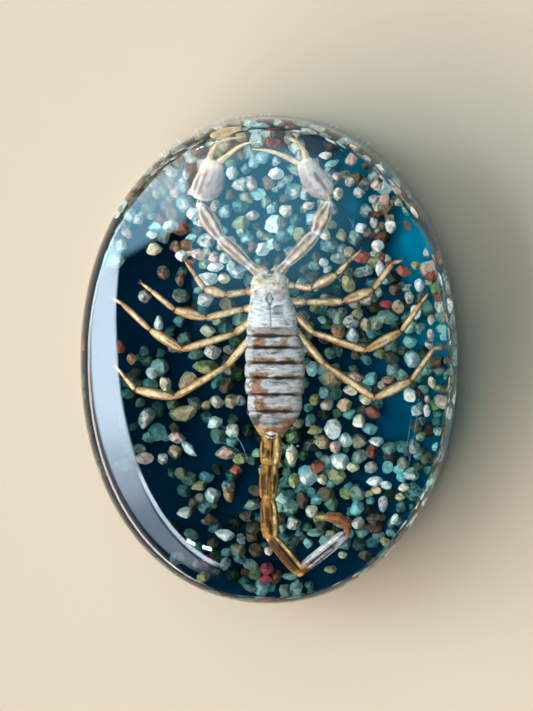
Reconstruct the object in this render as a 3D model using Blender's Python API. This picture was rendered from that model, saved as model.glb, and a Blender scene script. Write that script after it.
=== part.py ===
"""Oval resin paperweight with a golden scorpion cast in clear resin above a bed of gravel.

The pieces, from the table upwards:
    felt_pad      thin white felt glued under the block
    tinted_base   dark blue resin, a shallow tray round the gravel
    gravel        small stones on the thin bed that bonds them
    resin_lower   clear resin up to the scorpion's middle, with half of its pocket
    scorpion      the dried animal, one piece
    resin_upper   clear resin over it, with the other half of the pocket and the dome

Metres, +Z up. The origin is the middle of the felt's underside, the block's long axis lies
along Y, and the scorpion's head points to +Y.
"""

import math
import random

import bmesh
import bpy
from mathutils import Vector

MM = 0.001
UP = Vector((0, 0, 1))

# The block: an oval slightly squarer than an ellipse, widest at its foot
BLOCK_LENGTH = 74.7 * MM
BLOCK_WIDTH = 58.5 * MM
BLOCK_HEIGHT = 24.8 * MM
RIM_HEIGHT = 14.0 * MM  # the drafted wall ends here and the rounded edge begins
DRAFT = math.radians(4.5)
OVAL_POWER = 2.11
EDGE_WIDTH = 2.1 * MM  # the rounded edge, from the wall in to where the dome begins
EDGE_RISE = 6.0 * MM
DOME_RISE = BLOCK_HEIGHT - RIM_HEIGHT - EDGE_RISE
MIDDLE_REACH = (BLOCK_WIDTH + BLOCK_LENGTH) / 4
OVAL_SIDES = 48
EDGE_TURNS = [math.radians(turn) for turn in (30, 47, 63, 78, 90)]  # from the wall to the dome
DOME_SHRINKS = (0.8, 0.65, 0.48, 0.3, 0.12)

# Layers, as heights above the table
GAP = 0.3 * MM  # between pieces that touch in the real block
POCKET_ROOM = 0.4 * MM  # between the scorpion and the plainer pocket round it
FELT_THICKNESS = 1.0 * MM
FELT_INSET = 0.5 * MM
FOOT_CHAMFER = 0.4 * MM
BASE_TOP = 8.6 * MM
PARTING = 15.35 * MM  # the scorpion's middle, where the clear resin is parted in two
TRAY_WALL = 1.6 * MM
TRAY_FLOOR = 4.0 * MM

# Gravel: the bed that bonds the stones, and the stones
BED_THICKNESS = 2.2 * MM
STONE_COUNT = 84
STONE_RADIUS = (1.0 * MM, 2.0 * MM)
STONE_HEIGHT = (1.1 * MM, 2.0 * MM)
STONE_SUNK = 0.35 * MM
STONE_SPACING = 0.1 * MM
STONE_EDGE = 0.3 * MM
STONE_TRIES = 600
STONE_SEED = 11

# The scorpion's body, in mm: rear edge of each plate, its middle in x, and its half width
SHIELD_SECTIONS = (
    (13.7, 0.0, 1.3),
    (12.9, 0.2, 2.3),
    (11.5, 0.2, 2.65),
    (9.9, 0.3, 2.8),
    (8.3, 0.5, 3.25),
    (7.3, 0.6, 3.45),
)
BACK_PLATES = (
    (5.6, 0.65, 3.55),
    (4.3, 0.7, 3.75),
    (2.6, 0.95, 3.95),
    (0.4, 0.95, 4.2),
    (-1.8, 0.95, 4.3),
    (-4.2, 0.95, 4.2),
    (-6.7, 0.95, 3.9),
)
LAST_PLATE = ((-8.5, 0.8, 2.95), (-10.3, 0.5, 1.6))
BODY_RISE = 1.95
BODY_DROP = 1.6
BODY_POWER = 2.4  # how much squarer than an ellipse the body is across
HEAD_FULLNESS = 0.72  # the shield's height at its front, as a share of its full height
HEAD_LENGTH = 3.5  # the shield reaches its full height this far behind its front
PLATE_STEP = 0.93  # a plate's tucked front over its rear, in width and height
STEP_START = 0.12  # a plate's tucked front, behind the rear of the plate before
STEP_END = 0.6
LAST_FULLNESS = 0.9

# Joints of the legs, in mm, from the body out: hip, trochanter, knee, ankle, heel, claw
LEGS = {
    "left_1": ((-1.5, 10.7), (-3.2, 10.6), (-6.0, 10.2), (-9.1, 11.0), (-10.4, 12.9), (-11.9, 15.0)),
    "left_2": ((-1.7, 8.3), (-3.5, 8.1), (-8.9, 6.8), (-13.4, 8.0), (-16.8, 10.8), (-18.3, 11.9)),
    "left_3": ((-2.1, 6.7), (-4.8, 4.5), (-12.3, 2.2), (-17.0, 5.1), (-21.1, 8.9), (-22.4, 9.6)),
    "left_4": ((-2.1, 4.4), (-5.9, -0.2), (-13.5, -4.8), (-19.2, -3.7), (-20.7, -1.9), (-22.2, -0.2)),
    "right_1": ((1.8, 11.5), (3.8, 11.5), (6.3, 11.2), (9.8, 13.1), (11.4, 14.9), (13.2, 16.6)),
    "right_2": ((2.4, 9.2), (5.4, 9.1), (10.7, 9.2), (15.1, 11.0), (17.9, 14.8), (19.2, 15.2)),
    "right_3": ((3.4, 7.7), (6.4, 4.7), (14.0, 2.1), (19.1, 4.9), (22.1, 9.1), (23.0, 10.3)),
    "right_4": ((3.3, 5.8), (7.9, 0.2), (15.3, -4.9), (20.6, -2.3), (24.0, 2.4), (25.1, 2.5)),
}
LEG_HEIGHTS = (15.1, 15.3, 15.75, 15.5, 15.35, 15.25)
LEG_WIDTHS = (0.55, 0.52, 0.7, 0.4, 0.27)  # the thickest half width of each segment
SEGMENT_SHAPE = ((0.07, 0.74), (0.5, 1.0))  # share of a segment's length and how full it is there
TIP_FULLNESS = 0.5

# Pincers, in mm: the arm's joints, the palm from wrist to finger roots, and the two fingers
PINCERS = {
    "left": {
        "arm": ((-0.6, 12.8), (-2.6, 14.4), (-6.9, 18.4), (-9.8, 23.2), (-9.8, 24.3)),
        "palm": ((-9.8, 24.0), (-8.5, 26.4), (-7.9, 29.8)),
        "fingers": (
            ((-8.5, 29.4), (-8.1, 31.1), (-6.9, 32.4), (-3.7, 33.1)),
            ((-7.2, 29.4), (-5.7, 30.6), (-4.1, 31.8), (-1.6, 32.6)),
        ),
    },
    "right": {
        "arm": ((1.0, 12.8), (2.6, 14.6), (6.8, 19.0), (8.7, 23.4), (8.6, 24.9)),
        "palm": ((8.7, 24.6), (6.7, 26.8), (5.0, 29.8)),
        "fingers": (
            ((5.5, 29.6), (5.1, 31.2), (4.1, 32.4), (2.4, 33.2)),
            ((4.4, 29.3), (2.4, 30.3), (0.1, 31.1), (-2.4, 31.4)),
        ),
    },
}
ARM_WIDTHS = (0.75, 0.95, 1.15, 0.6)
PALM_HALF_WIDTHS = {"left": 2.15, "right": 1.85}
PALM_TALLNESS = 0.61  # a palm's half height, as a share of its half width
# Along the palm from the wrist: share of its length and how full it is there
PALM_SHAPE = ((0.0, 0.42), (0.1, 0.78), (0.28, 1.0), (0.52, 0.99), (0.78, 0.83), (1.0, 0.55))
FINGER_WIDTHS = (0.62, 0.42, 0.3, 0.12)
PINCER_HEIGHT = 15.5
JAWS = ((-0.9, 12.8), (-1.0, 14.4)), ((1.3, 12.8), (1.4, 14.3))
JAW_WIDTHS = (0.85, 0.95, 0.5)

# Tail, in mm: each segment's two ends and half width, then the bulb and the sting
TAIL = (
    ((0.5, -9.4), (0.3, -14.6), 1.45),
    ((0.2, -14.2), (0.0, -19.7), 1.3),
    ((0.0, -19.4), (0.4, -25.5), 1.25),
    ((0.2, -25.1), (4.7, -30.8), 1.02),
    ((4.1, -30.9), (11.3, -25.0), 0.92),
)
TAIL_HEIGHT = 15.45
TAIL_SHAPE = ((0.0, 0.7), (0.1, 0.95), (0.55, 1.0), (0.93, 0.98), (1.0, 0.75))
ROOM_SHAPE = ((0.0, 1.0), (1.0, 1.0))
TAIL_DROP = 0.9  # a segment's depth below its middle, as a share of its half width
TAIL_POWER = 2.2
BULB = ((11.0, -25.3), (11.5, -24.1), (10.6, -22.9), (9.5, -22.5), (8.1, -22.5))
BULB_WIDTHS = (0.45, 0.6, 0.85, 0.85, 0.4)
STING = ((8.6, -22.5), (7.2, -22.3), (5.9, -22.7))
STING_WIDTHS = (0.42, 0.22, 0.07)

# A square tube this much wider than a round limb still clears it
SQUARE_ROOM = 1.35

PART_COLLECTION = "scorpion_in_resin_block"
CUTTER_COLLECTION = "cutters"


def clear_scene():
    for obj in list(bpy.data.objects):
        bpy.data.objects.remove(obj, do_unlink=True)


def collection(name):
    made = bpy.data.collections.new(name)
    bpy.context.scene.collection.children.link(made)
    return made


def material(name, colour, roughness, transmission=0.0, ior=1.5):
    made = bpy.data.materials.new(name)
    made.use_nodes = True
    shader = made.node_tree.nodes["Principled BSDF"]
    shader.inputs["Base Color"].default_value = (*colour, 1)
    shader.inputs["Roughness"].default_value = roughness
    shader.inputs["Metallic"].default_value = 0
    shader.inputs["Transmission Weight"].default_value = transmission
    shader.inputs["IOR"].default_value = ior
    return made


def add_object(name, mesh, group):
    obj = bpy.data.objects.new(name, mesh)
    group.objects.link(obj)
    return obj


def mesh_from(bm, name):
    bmesh.ops.recalc_face_normals(bm, faces=bm.faces)
    mesh = bpy.data.meshes.new(name)
    bm.to_mesh(mesh)
    bm.free()
    return mesh


def settle(obj):
    """Gives the object the mesh that its modifiers or its curve make."""
    graph = bpy.context.evaluated_depsgraph_get()
    mesh = bpy.data.meshes.new_from_object(obj.evaluated_get(graph))
    bm = bmesh.new()
    bm.from_mesh(mesh)
    bmesh.ops.remove_doubles(bm, verts=bm.verts, dist=0.001 * MM)
    bmesh.ops.recalc_face_normals(bm, faces=bm.faces)
    bm.to_mesh(mesh)
    bm.free()
    return mesh


def loft(name, rings, group):
    """A closed solid through rings with equal numbers of points, flat at both ends."""
    bm = bmesh.new()
    loops = [[bm.verts.new(point) for point in ring] for ring in rings]
    for below, above in zip(loops, loops[1:]):
        for i in range(len(below)):
            j = (i + 1) % len(below)
            bm.faces.new((below[i], below[j], above[j], above[i]))
    bm.faces.new(loops[0])
    bm.faces.new(loops[-1])
    return add_object(name, mesh_from(bm, name), group)


def boolean(obj, operation, other=None, others=None):
    modifier = obj.modifiers.new(operation.lower(), "BOOLEAN")
    modifier.operation = operation
    modifier.solver = "EXACT"
    if others:
        modifier.operand_type = "COLLECTION"
        modifier.collection = others
    else:
        modifier.object = other


def oval(half_width, half_length, z):
    """Points round a superellipse at one height."""
    points = []
    for i in range(OVAL_SIDES):
        turn = math.tau * i / OVAL_SIDES
        across = math.copysign(abs(math.cos(turn)) ** (2 / OVAL_POWER), math.cos(turn))
        along = math.copysign(abs(math.sin(turn)) ** (2 / OVAL_POWER), math.sin(turn))
        points.append(Vector((half_width * across, half_length * along, z)))
    return points


def wall_ring(z, inset=0.0):
    """The block's drafted wall at a height up to the rim, or an oval that far inside it."""
    lean = inset + (z - FELT_THICKNESS) * math.tan(DRAFT)
    return oval(BLOCK_WIDTH / 2 - lean, BLOCK_LENGTH / 2 - lean, z)


def rim_oval(z, inset, shrink=1.0):
    """The rim's oval raised to a height, that far inside the rim and then made smaller."""
    lean = inset + (RIM_HEIGHT - FELT_THICKNESS) * math.tan(DRAFT)
    return oval((BLOCK_WIDTH / 2 - lean) * shrink, (BLOCK_LENGTH / 2 - lean) * shrink, z)


def low_edge_ring(z):
    """The rounded edge at a height just above the rim, where the dome doesn't yet add to it."""
    turn = math.asin((z - RIM_HEIGHT) / EDGE_RISE)
    return rim_oval(z, EDGE_WIDTH * (1 - math.cos(turn)))


def edge_ring(turn):
    """The rounded edge where it has turned so far from the wall, on the dome's low curve."""
    inset = EDGE_WIDTH * (1 - math.cos(turn))
    dome = DOME_RISE * (1 - (1 - inset / MIDDLE_REACH) ** 2)
    return rim_oval(RIM_HEIGHT + EDGE_RISE * math.sin(turn) + dome, inset)


def dome_ring(shrink):
    """The dome's low curve inside the rounded edge."""
    reach = shrink * (1 - EDGE_WIDTH / MIDDLE_REACH)
    return rim_oval(RIM_HEIGHT + EDGE_RISE + DOME_RISE * (1 - reach**2), EDGE_WIDTH, shrink)


def felt_pad(group):
    felt = material("white_felt", (0.82, 0.82, 0.8), 0.95)
    rings = [wall_ring(FELT_THICKNESS, FELT_INSET) for _ in range(2)]
    for point in rings[0]:
        point.z = 0
    pad = loft("felt_pad", rings, group)
    pad.data.materials.append(felt)


def tinted_base(group):
    """Blue resin: the foot, the outer wall and a tray that is open upwards round the gravel."""
    tint = material("blue_resin", (0.0, 0.03, 0.06), 0.08, transmission=0.6)
    foot = FELT_THICKNESS + GAP
    rings = [
        wall_ring(foot, FOOT_CHAMFER),
        wall_ring(foot + FOOT_CHAMFER),
        wall_ring(BASE_TOP),
        wall_ring(BASE_TOP, TRAY_WALL),
        wall_ring(TRAY_FLOOR, TRAY_WALL),
    ]
    base = loft("tinted_base", rings, group)
    base.data.materials.append(tint)


def stone(bm, x, y, radius, floor, chance):
    """One angular stone: a five or six sided block, narrower above, its top tilted at random."""
    height = chance.uniform(*STONE_HEIGHT)
    made = bmesh.ops.create_cone(
        bm,
        cap_ends=True,
        segments=chance.choice((5, 5, 6)),
        radius1=radius,
        radius2=radius * chance.uniform(0.5, 0.68),
        depth=height,
    )
    narrow = chance.uniform(0.7, 0.92)
    turn = chance.uniform(0, math.tau)
    tilt = Vector((chance.uniform(-0.25, 0.25), chance.uniform(-0.25, 0.25)))
    for vert in made["verts"]:
        across = vert.co.x * chance.uniform(0.85, 1.0)
        along = vert.co.y * chance.uniform(0.85, 1.0) * narrow
        vert.co.x = x + across * math.cos(turn) - along * math.sin(turn)
        vert.co.y = y + across * math.sin(turn) + along * math.cos(turn)
        if vert.co.z > 0:
            vert.co.z += tilt.x * across + tilt.y * along
        vert.co.z += floor - STONE_SUNK + height / 2


def stone_places(chance):
    """Seeded places and sizes for the stones, none of them touching, largest first."""
    reach = Vector((BLOCK_WIDTH / 2, BLOCK_LENGTH / 2)) - Vector((TRAY_WALL, TRAY_WALL))
    radii = sorted((chance.uniform(*STONE_RADIUS) for _ in range(STONE_COUNT)), reverse=True)
    placed = []
    for radius in radii:
        for _ in range(STONE_TRIES):
            x = chance.uniform(-reach.x, reach.x)
            y = chance.uniform(-reach.y, reach.y)
            edge = radius + GAP + STONE_EDGE
            out = (abs(x) / (reach.x - edge)) ** OVAL_POWER + (abs(y) / (reach.y - edge)) ** OVAL_POWER
            clear = all(
                math.hypot(x - px, y - py) > radius + pr + STONE_SPACING for px, py, pr in placed
            )
            if out < 1 and clear:
                placed.append((x, y, radius))
                break
    return placed


def gravel(group, cutters):
    """Stones standing on the bed that bonds them, one fused solid."""
    chance = random.Random(STONE_SEED)
    grit = material("gravel", (0.42, 0.4, 0.33), 0.7)
    low = TRAY_FLOOR + GAP
    high = low + BED_THICKNESS
    rings = [wall_ring(low, TRAY_WALL + GAP), wall_ring(high, TRAY_WALL + GAP)]
    bed = loft("gravel", rings, group)
    bm = bmesh.new()
    for x, y, radius in stone_places(chance):
        stone(bm, x, y, radius, high, chance)
    stones = add_object("stones", mesh_from(bm, "stones"), cutters)
    boolean(bed, "UNION", stones)
    bed.data = settle(bed)
    bed.modifiers.clear()
    bed.data.materials.clear()
    bed.data.materials.append(grit)
    bpy.data.objects.remove(stones, do_unlink=True)


def flat_ring(centre, heading, half_width, rise, drop, sides, power=2.0):
    """A ring across a limb: half_width to each side, rise above the middle and drop below it."""
    side = heading.cross(UP).normalized()
    points = []
    for i in range(sides):
        turn = math.tau * (i + 0.5) / sides
        across = math.copysign(abs(math.cos(turn)) ** (2 / power), math.cos(turn))
        lift = math.copysign(abs(math.sin(turn)) ** (2 / power), math.sin(turn))
        height = rise if lift > 0 else drop
        points.append(centre + side * across * half_width + UP * lift * height)
    return points


def place(point, z):
    return Vector((point[0], point[1], z)) * MM


def limb(name, points, widths, group, grow, sides):
    """A jointed limb: a curve with a round bevel whose width, in mm, changes along it.

    With a grow it is the room for that limb: a square tube, wide and long enough to clear it.
    """
    points = list(points)
    if grow:
        points[-1] = points[-1] + (points[-1] - points[-2]).normalized() * grow
        widths = [(width + grow / MM) * SQUARE_ROOM for width in widths]
        sides = 4
    curve = bpy.data.curves.new(name, "CURVE")
    curve.dimensions = "3D"
    curve.bevel_depth = MM
    curve.bevel_resolution = (sides - 4) // 2
    curve.use_fill_caps = True
    spline = curve.splines.new("POLY")
    spline.points.add(len(points) - 1)
    for spot, point, width in zip(spline.points, points, widths):
        spot.co = (*point, 1)
        spot.radius = width
    traced = add_object(name, curve, group)
    solid = add_object(name, settle(traced), group)
    bpy.data.objects.remove(traced, do_unlink=True)
    return solid


def jointed(joints, widths, grow):
    """Points and half widths along a limb: each segment narrow at its ends, full in the middle.

    The room for a limb is plain, as wide at each joint as the wider of its two segments.
    """
    if grow:
        return list(joints), [max(pair) for pair in zip((0, *widths), (*widths, 0))]
    points = []
    sizes = []
    for start, end, width in zip(joints, joints[1:], widths):
        for share, fullness in SEGMENT_SHAPE:
            points.append(start.lerp(end, share))
            sizes.append(width * fullness)
    points.append(joints[-1])
    sizes.append(sizes[-1] * TIP_FULLNESS)
    return points, sizes


def body(group, grow):
    """The shield over the head and legs, and the plates of the back, each stepping over the next."""
    head = SHIELD_SECTIONS[0][0]
    sections = [
        (y, x, half, HEAD_FULLNESS + (1 - HEAD_FULLNESS) * min(1, (head - y) / HEAD_LENGTH))
        for y, x, half in SHIELD_SECTIONS
    ]
    for (front, x, half), (rear, next_x, next_half) in zip(
        (SHIELD_SECTIONS[-1], *BACK_PLATES), BACK_PLATES
    ):
        if not grow:
            sections.append((front - STEP_START, x, next_half * PLATE_STEP, PLATE_STEP))
            sections.append((front - STEP_END, next_x, next_half, 1.0))
        sections.append((rear, next_x, next_half, 1.0))
    sections += [(y, x, half, half / LAST_PLATE[0][2] * LAST_FULLNESS) for y, x, half in LAST_PLATE]
    rings = []
    for y, x, half, fullness in sections:
        rings.append(
            flat_ring(
                place((x, y), PARTING / MM),
                Vector((0, 1, 0)),
                half * MM + grow,
                BODY_RISE * fullness * MM + grow,
                BODY_DROP * fullness * MM + grow,
                8 if grow else 12,
                BODY_POWER,
            )
        )
    if grow:
        push = Vector((0, grow, 0))
        rings[0] = [point + push for point in rings[0]]
        rings[-1] = [point - push for point in rings[-1]]
    return loft("body", rings, group)


def legs(group, grow):
    for name, joints in LEGS.items():
        spots = [place(joint, z) for joint, z in zip(joints, LEG_HEIGHTS)]
        points, widths = jointed(spots, LEG_WIDTHS, grow)
        limb(name, points, widths, group, grow, sides=6)


def palm(name, spots, half_width, group, grow):
    """The pincer's swollen hand: blunt wrist, broad flat middle, and the fingers' root."""
    wrist, middle, root = [place(spot, PINCER_HEIGHT) for spot in spots]
    bow = middle - wrist.lerp(root, 0.5)
    rings = []
    for share, fullness in PALM_SHAPE:
        along = wrist.lerp(root, share) + bow * math.sin(share * math.pi)
        width = half_width * MM * fullness + grow
        height = half_width * PALM_TALLNESS * MM * fullness + grow
        rings.append(flat_ring(along, root - wrist, width, height, height, 8 if grow else 10))
    return loft(name, rings, group)


def pincers(group, grow):
    for side, spots in PINCERS.items():
        joints = [place(joint, PINCER_HEIGHT) for joint in spots["arm"]]
        points, widths = jointed(joints, ARM_WIDTHS, grow)
        limb(f"{side}_arm", points, widths, group, grow, sides=8)
        palm(f"{side}_palm", spots["palm"], PALM_HALF_WIDTHS[side], group, grow)
        for number, finger in enumerate(spots["fingers"]):
            points = [place(point, PINCER_HEIGHT) for point in finger]
            limb(f"{side}_finger_{number}", points, FINGER_WIDTHS, group, grow, sides=6)
    for number, jaw in enumerate(JAWS):
        root, tip = [place(point, PARTING / MM) for point in jaw]
        limb(f"jaw_{number}", (root, root.lerp(tip, 0.6), tip), JAW_WIDTHS, group, grow, sides=6)


def tail(group, grow):
    """Five ridged segments, the last two bent round, then the bulb and its sting."""
    shape = ROOM_SHAPE if grow else TAIL_SHAPE
    for number, (start, end, half) in enumerate(TAIL):
        front = place(start, TAIL_HEIGHT)
        back = place(end, TAIL_HEIGHT)
        heading = (back - front).normalized()
        rings = []
        for share, fullness in shape:
            width = half * MM * fullness + grow
            spot = front.lerp(back, share) + heading * grow * (2 * share - 1)
            rings.append(flat_ring(spot, heading, width, width, width * TAIL_DROP, 8, TAIL_POWER))
        loft(f"tail_{number}", rings, group)
    for name, spots, sizes in (("bulb", BULB, BULB_WIDTHS), ("sting", STING, STING_WIDTHS)):
        points = [place(point, TAIL_HEIGHT) for point in spots]
        limb(name, points, sizes, group, grow, sides=6)


def whole_scorpion(name, group, grow=0.0):
    """Every limb fused to the body. A grow above zero makes the pocket that clears it."""
    limbs = collection(f"{name}_limbs")
    fused = body(group, grow)
    fused.name = name
    legs(limbs, grow)
    pincers(limbs, grow)
    tail(limbs, grow)
    boolean(fused, "UNION", others=limbs)
    fused.data = settle(fused)
    fused.modifiers.clear()
    for obj in list(limbs.objects):
        bpy.data.objects.remove(obj, do_unlink=True)
    bpy.data.collections.remove(limbs)
    return fused


def scorpion(group):
    shell = material("scorpion_shell", (0.62, 0.5, 0.33), 0.4)
    animal = whole_scorpion("scorpion", group)
    animal.data.materials.clear()
    animal.data.materials.append(shell)


def clear_halves(group, cutters):
    """The clear resin below and above the parting, each with its half of the pocket."""
    clear = material("clear_resin", (0.96, 0.98, 0.98), 0.02, transmission=1.0)
    pocket = whole_scorpion("scorpion_pocket", cutters, POCKET_ROOM)
    pocket.hide_render = True
    pocket.display_type = "WIRE"
    below = PARTING - GAP / 2
    above = PARTING + GAP / 2
    lower_rings = [wall_ring(BASE_TOP + GAP), wall_ring(RIM_HEIGHT), low_edge_ring(below)]
    upper_rings = [low_edge_ring(above)]
    upper_rings += [edge_ring(turn) for turn in EDGE_TURNS]
    upper_rings += [dome_ring(shrink) for shrink in DOME_SHRINKS]
    lower = loft("resin_lower", lower_rings, group)
    upper = loft("resin_upper", upper_rings, group)
    for half in (lower, upper):
        half.data.materials.append(clear)
        boolean(half, "DIFFERENCE", pocket)


def main():
    clear_scene()
    group = collection(PART_COLLECTION)
    cutters = collection(CUTTER_COLLECTION)
    felt_pad(group)
    tinted_base(group)
    gravel(group, cutters)
    scorpion(group)
    clear_halves(group, cutters)


main()
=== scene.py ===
"""Looks of the oval resin block: clear dome, blue layer, gravel, felt and the scorpion."""

import math
import random

import bpy
import numpy as np
from mathutils import Matrix, Vector, noise


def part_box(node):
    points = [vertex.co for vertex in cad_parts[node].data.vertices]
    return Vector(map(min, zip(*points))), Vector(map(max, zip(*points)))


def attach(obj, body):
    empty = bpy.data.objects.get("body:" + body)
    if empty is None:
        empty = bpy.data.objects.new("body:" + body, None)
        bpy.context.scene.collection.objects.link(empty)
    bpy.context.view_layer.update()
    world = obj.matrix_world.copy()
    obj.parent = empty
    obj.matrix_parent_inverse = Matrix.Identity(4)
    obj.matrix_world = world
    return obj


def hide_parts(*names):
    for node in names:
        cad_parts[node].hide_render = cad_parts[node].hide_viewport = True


MM = 0.001
UP = Vector((0, 0, 1))

# The block's outer form, as in the CAD part
DRAFT = math.tan(math.radians(4.5))
OVAL_POWER = 2.11
RIM_HEIGHT = 14.0 * MM  # the drafted wall ends here
EDGE_WIDTH = 2.1 * MM  # the rounded edge, from the wall in to where the dome begins
EDGE_RISE = 6.0 * MM
DOME_RISE = 4.8 * MM
MIDDLE_REACH = 33.3 * MM  # the mean of the block's half width and half length
OVAL_SIDES = 192
EDGE_RINGS = 24
DOME_RINGS = 30

# Heights inside the block
BLUE_FLOOR = 5.2 * MM  # the blue resin is so dense below this that it is opaque
BLUE_INSET = 0.03 * MM  # keeps the blue layer's faces off the clear block's
BLUE_DROP = 0.7 * MM  # the blue resin's surface lies this far under the tray's edge
SCORPION_HEIGHT = 15.35  # mm from the table up to the body's widest line


# ---------------------------------------------------------------- modelling


def pick(obj):
    """Makes obj the only selected object."""
    bpy.ops.object.select_all(action="DESELECT")
    obj.select_set(True)
    bpy.context.view_layer.objects.active = obj


def named(obj, name):
    obj.name = name
    obj.data.name = name
    return obj


def column(name, stations, sides, shape, pointed=False):
    """A closed form: a disc extruded up Z through stations of (x, y, z, half width, half depth).

    The shape gives the disc's (x, y) at an angle. A pointed form has its last ring drawn together.
    """
    bpy.ops.object.select_all(action="DESELECT")
    bpy.ops.mesh.primitive_circle_add(vertices=sides, radius=1, fill_type="NGON")
    obj = named(bpy.context.object, name)
    x, y, z, wide, deep = stations[0]
    for vert in obj.data.vertices:
        turn = math.atan2(vert.co.y, vert.co.x)
        across, along = shape(turn)
        vert.co = (x + wide * across, y + deep * along, z)
    bpy.ops.object.mode_set(mode="EDIT")
    bpy.ops.mesh.select_all(action="SELECT")
    for before, after in zip(stations, stations[1:]):
        step = [b - a for a, b in zip(before[:3], after[:3])]
        bpy.ops.mesh.extrude_region_move(TRANSFORM_OT_translate={"value": step})
        ratio = (after[3] / before[3], after[4] / before[4], 1)
        bpy.ops.transform.resize(value=ratio, center_override=after[:3])
    if pointed:
        bpy.ops.mesh.merge(type="CENTER")
    bpy.ops.mesh.select_all(action="SELECT")
    bpy.ops.mesh.normals_make_consistent(inside=False)
    bpy.ops.object.mode_set(mode="OBJECT")
    return obj


def lay(obj, start, heading):
    """Lays a form made up Z so that it runs from start the way of heading, its Y side up."""
    ahead = heading.normalized()
    side = UP.cross(ahead).normalized()
    turn = Matrix((side, ahead.cross(side), ahead)).transposed()
    obj.matrix_world = Matrix.Translation(start) @ turn.to_4x4()
    pick(obj)
    bpy.ops.object.transform_apply(location=True, rotation=True, scale=True)
    return obj


def paint(obj, colour_at):
    """Fills the coat attribute: each point's own colour, from its place."""
    coat = obj.data.color_attributes.new("coat", "FLOAT_COLOR", "POINT")
    colours = [value for vert in obj.data.vertices for value in (*colour_at(vert.co), 1)]
    coat.data.foreach_set("color", colours)


def meshed(name, points, faces):
    """A piece made straight from its points and faces, for what repeats hundreds of times."""
    mesh = bpy.data.meshes.new(name)
    mesh.from_pydata(points, [], faces)
    obj = bpy.data.objects.new(name, mesh)
    bpy.context.collection.objects.link(obj)
    return obj


def joined(name, objects):
    bpy.ops.object.select_all(action="DESELECT")
    for obj in objects:
        obj.select_set(True)
    bpy.context.view_layer.objects.active = objects[0]
    bpy.ops.object.join()
    return named(bpy.context.object, name)


def smooth(obj, angle=180):
    pick(obj)
    if angle == 180:
        bpy.ops.object.shade_smooth()
    else:
        bpy.ops.object.shade_smooth_by_angle(angle=math.radians(angle))


def dress(obj, material, slot, *nodes):
    obj.data.materials.clear()
    obj.data.materials.append(material)
    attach(obj, "root")
    if nodes:
        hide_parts(*nodes)


def superellipse(turn, power):
    """A point of a squarish oval. Its angle keeps the even spacing of the circle it starts from."""
    across = math.copysign(abs(math.cos(turn)) ** (2 / power), math.cos(turn))
    along = math.copysign(abs(math.sin(turn)) ** (2 / power), math.sin(turn))
    return across, along


def mixed(a, b, share):
    return tuple(p + (q - p) * share for p, q in zip(a, b))


def step(low, high, value):
    """0 below low, 1 above high, and a smooth rise between."""
    share = min(1.0, max(0.0, (value - low) / (high - low)))
    return share * share * (3 - 2 * share)


# ---------------------------------------------------------------- materials


def material(name, values):
    made = bpy.data.materials.new(name)
    made.use_nodes = True
    shader = made.node_tree.nodes["Principled BSDF"]
    for socket, value in values.items():
        shader.inputs[socket].default_value = value
    return made


def node(made, kind, inputs=None, **settings):
    new = made.node_tree.nodes.new(kind)
    for name, value in settings.items():
        setattr(new, name, value)
    for socket, value in (inputs or {}).items():
        if isinstance(value, bpy.types.NodeSocket):
            made.node_tree.links.new(value, new.inputs[socket])
        else:
            new.inputs[socket].default_value = value
    return new


def maths(made, operation, first, second):
    return node(made, "ShaderNodeMath", {0: first, 1: second}, operation=operation).outputs[0]


def multiplied(made, first, second, share):
    """The first colour times the second, as far as the share says."""
    inputs = {"Factor": share, "A": first, "B": second}
    return node(made, "ShaderNodeMix", inputs, data_type="RGBA", blend_type="MULTIPLY").outputs["Result"]


def into_shader(made, socket, output):
    made.node_tree.links.new(output, made.node_tree.nodes["Principled BSDF"].inputs[socket])


def ramp(made, factor, stops):
    new = node(made, "ShaderNodeValToRGB", {"Fac": factor})
    elements = new.color_ramp.elements
    while len(elements) < len(stops):
        elements.new(0.5)
    for element, (place, colour) in zip(elements, stops):
        element.position = place
        element.color = (*colour, 1)
    return new.outputs["Color"]


def bumped(made, height, strength, distance):
    bump = node(made, "ShaderNodeBump", {"Height": height, "Strength": strength, "Distance": distance})
    into_shader(made, "Normal", bump.outputs["Normal"])


def object_noise(made, scale, detail=3.0, stretch=(1, 1, 1), roughness=0.5):
    place = node(made, "ShaderNodeTexCoord").outputs["Object"]
    mapping = node(made, "ShaderNodeMapping", {"Vector": place, "Scale": stretch}).outputs["Vector"]
    inputs = {"Vector": mapping, "Scale": scale, "Detail": detail, "Roughness": roughness}
    return node(made, "ShaderNodeTexNoise", inputs).outputs["Fac"]


def see_through(name, refraction):
    """Plain transmission: smooth, colourless and fully clear."""
    looks = {"Base Color": (1, 1, 1, 1), "Roughness": 0.0, "Transmission Weight": 1.0}
    return material(name, {**looks, "IOR": refraction})


def clear_resin():
    made = see_through("clear_resin", 1.5)
    bumped(made, object_noise(made, 90, detail=1.5), 0.05, 0.05 * MM)
    return made


def blue_resin():
    """Clear to look into, but it takes the red out of the light within a millimetre or two."""
    made = see_through("blue_resin", 1.0)
    volume = node(made, "ShaderNodeVolumeAbsorption", {"Color": (0.0, 0.62, 0.68, 1), "Density": 620})
    output = made.node_tree.nodes["Material Output"]
    made.node_tree.links.new(volume.outputs["Volume"], output.inputs["Volume"])
    return made


# The dense resin's painted light from left to right, painted shade to a painted glow of focused light: its
# colours, where they start and end, how far they slant and wander
DENSE_SHADE_AND_GLOW_STOPS = (
    (0.0, (0.0, 0.045, 0.075)),
    (0.4, (0.0, 0.06, 0.115)),
    (0.62, (0.0, 0.15, 0.25)),
    (0.78, (0.0, 0.24, 0.36)),
    (0.87, (0.0, 0.72, 0.92)),
    (1.0, (0.0, 0.55, 0.7)),
)
DENSE_START = -13 * MM
DENSE_END = 43 * MM
DENSE_SLANT = 0.4
DENSE_WANDER = 18 * MM


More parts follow.
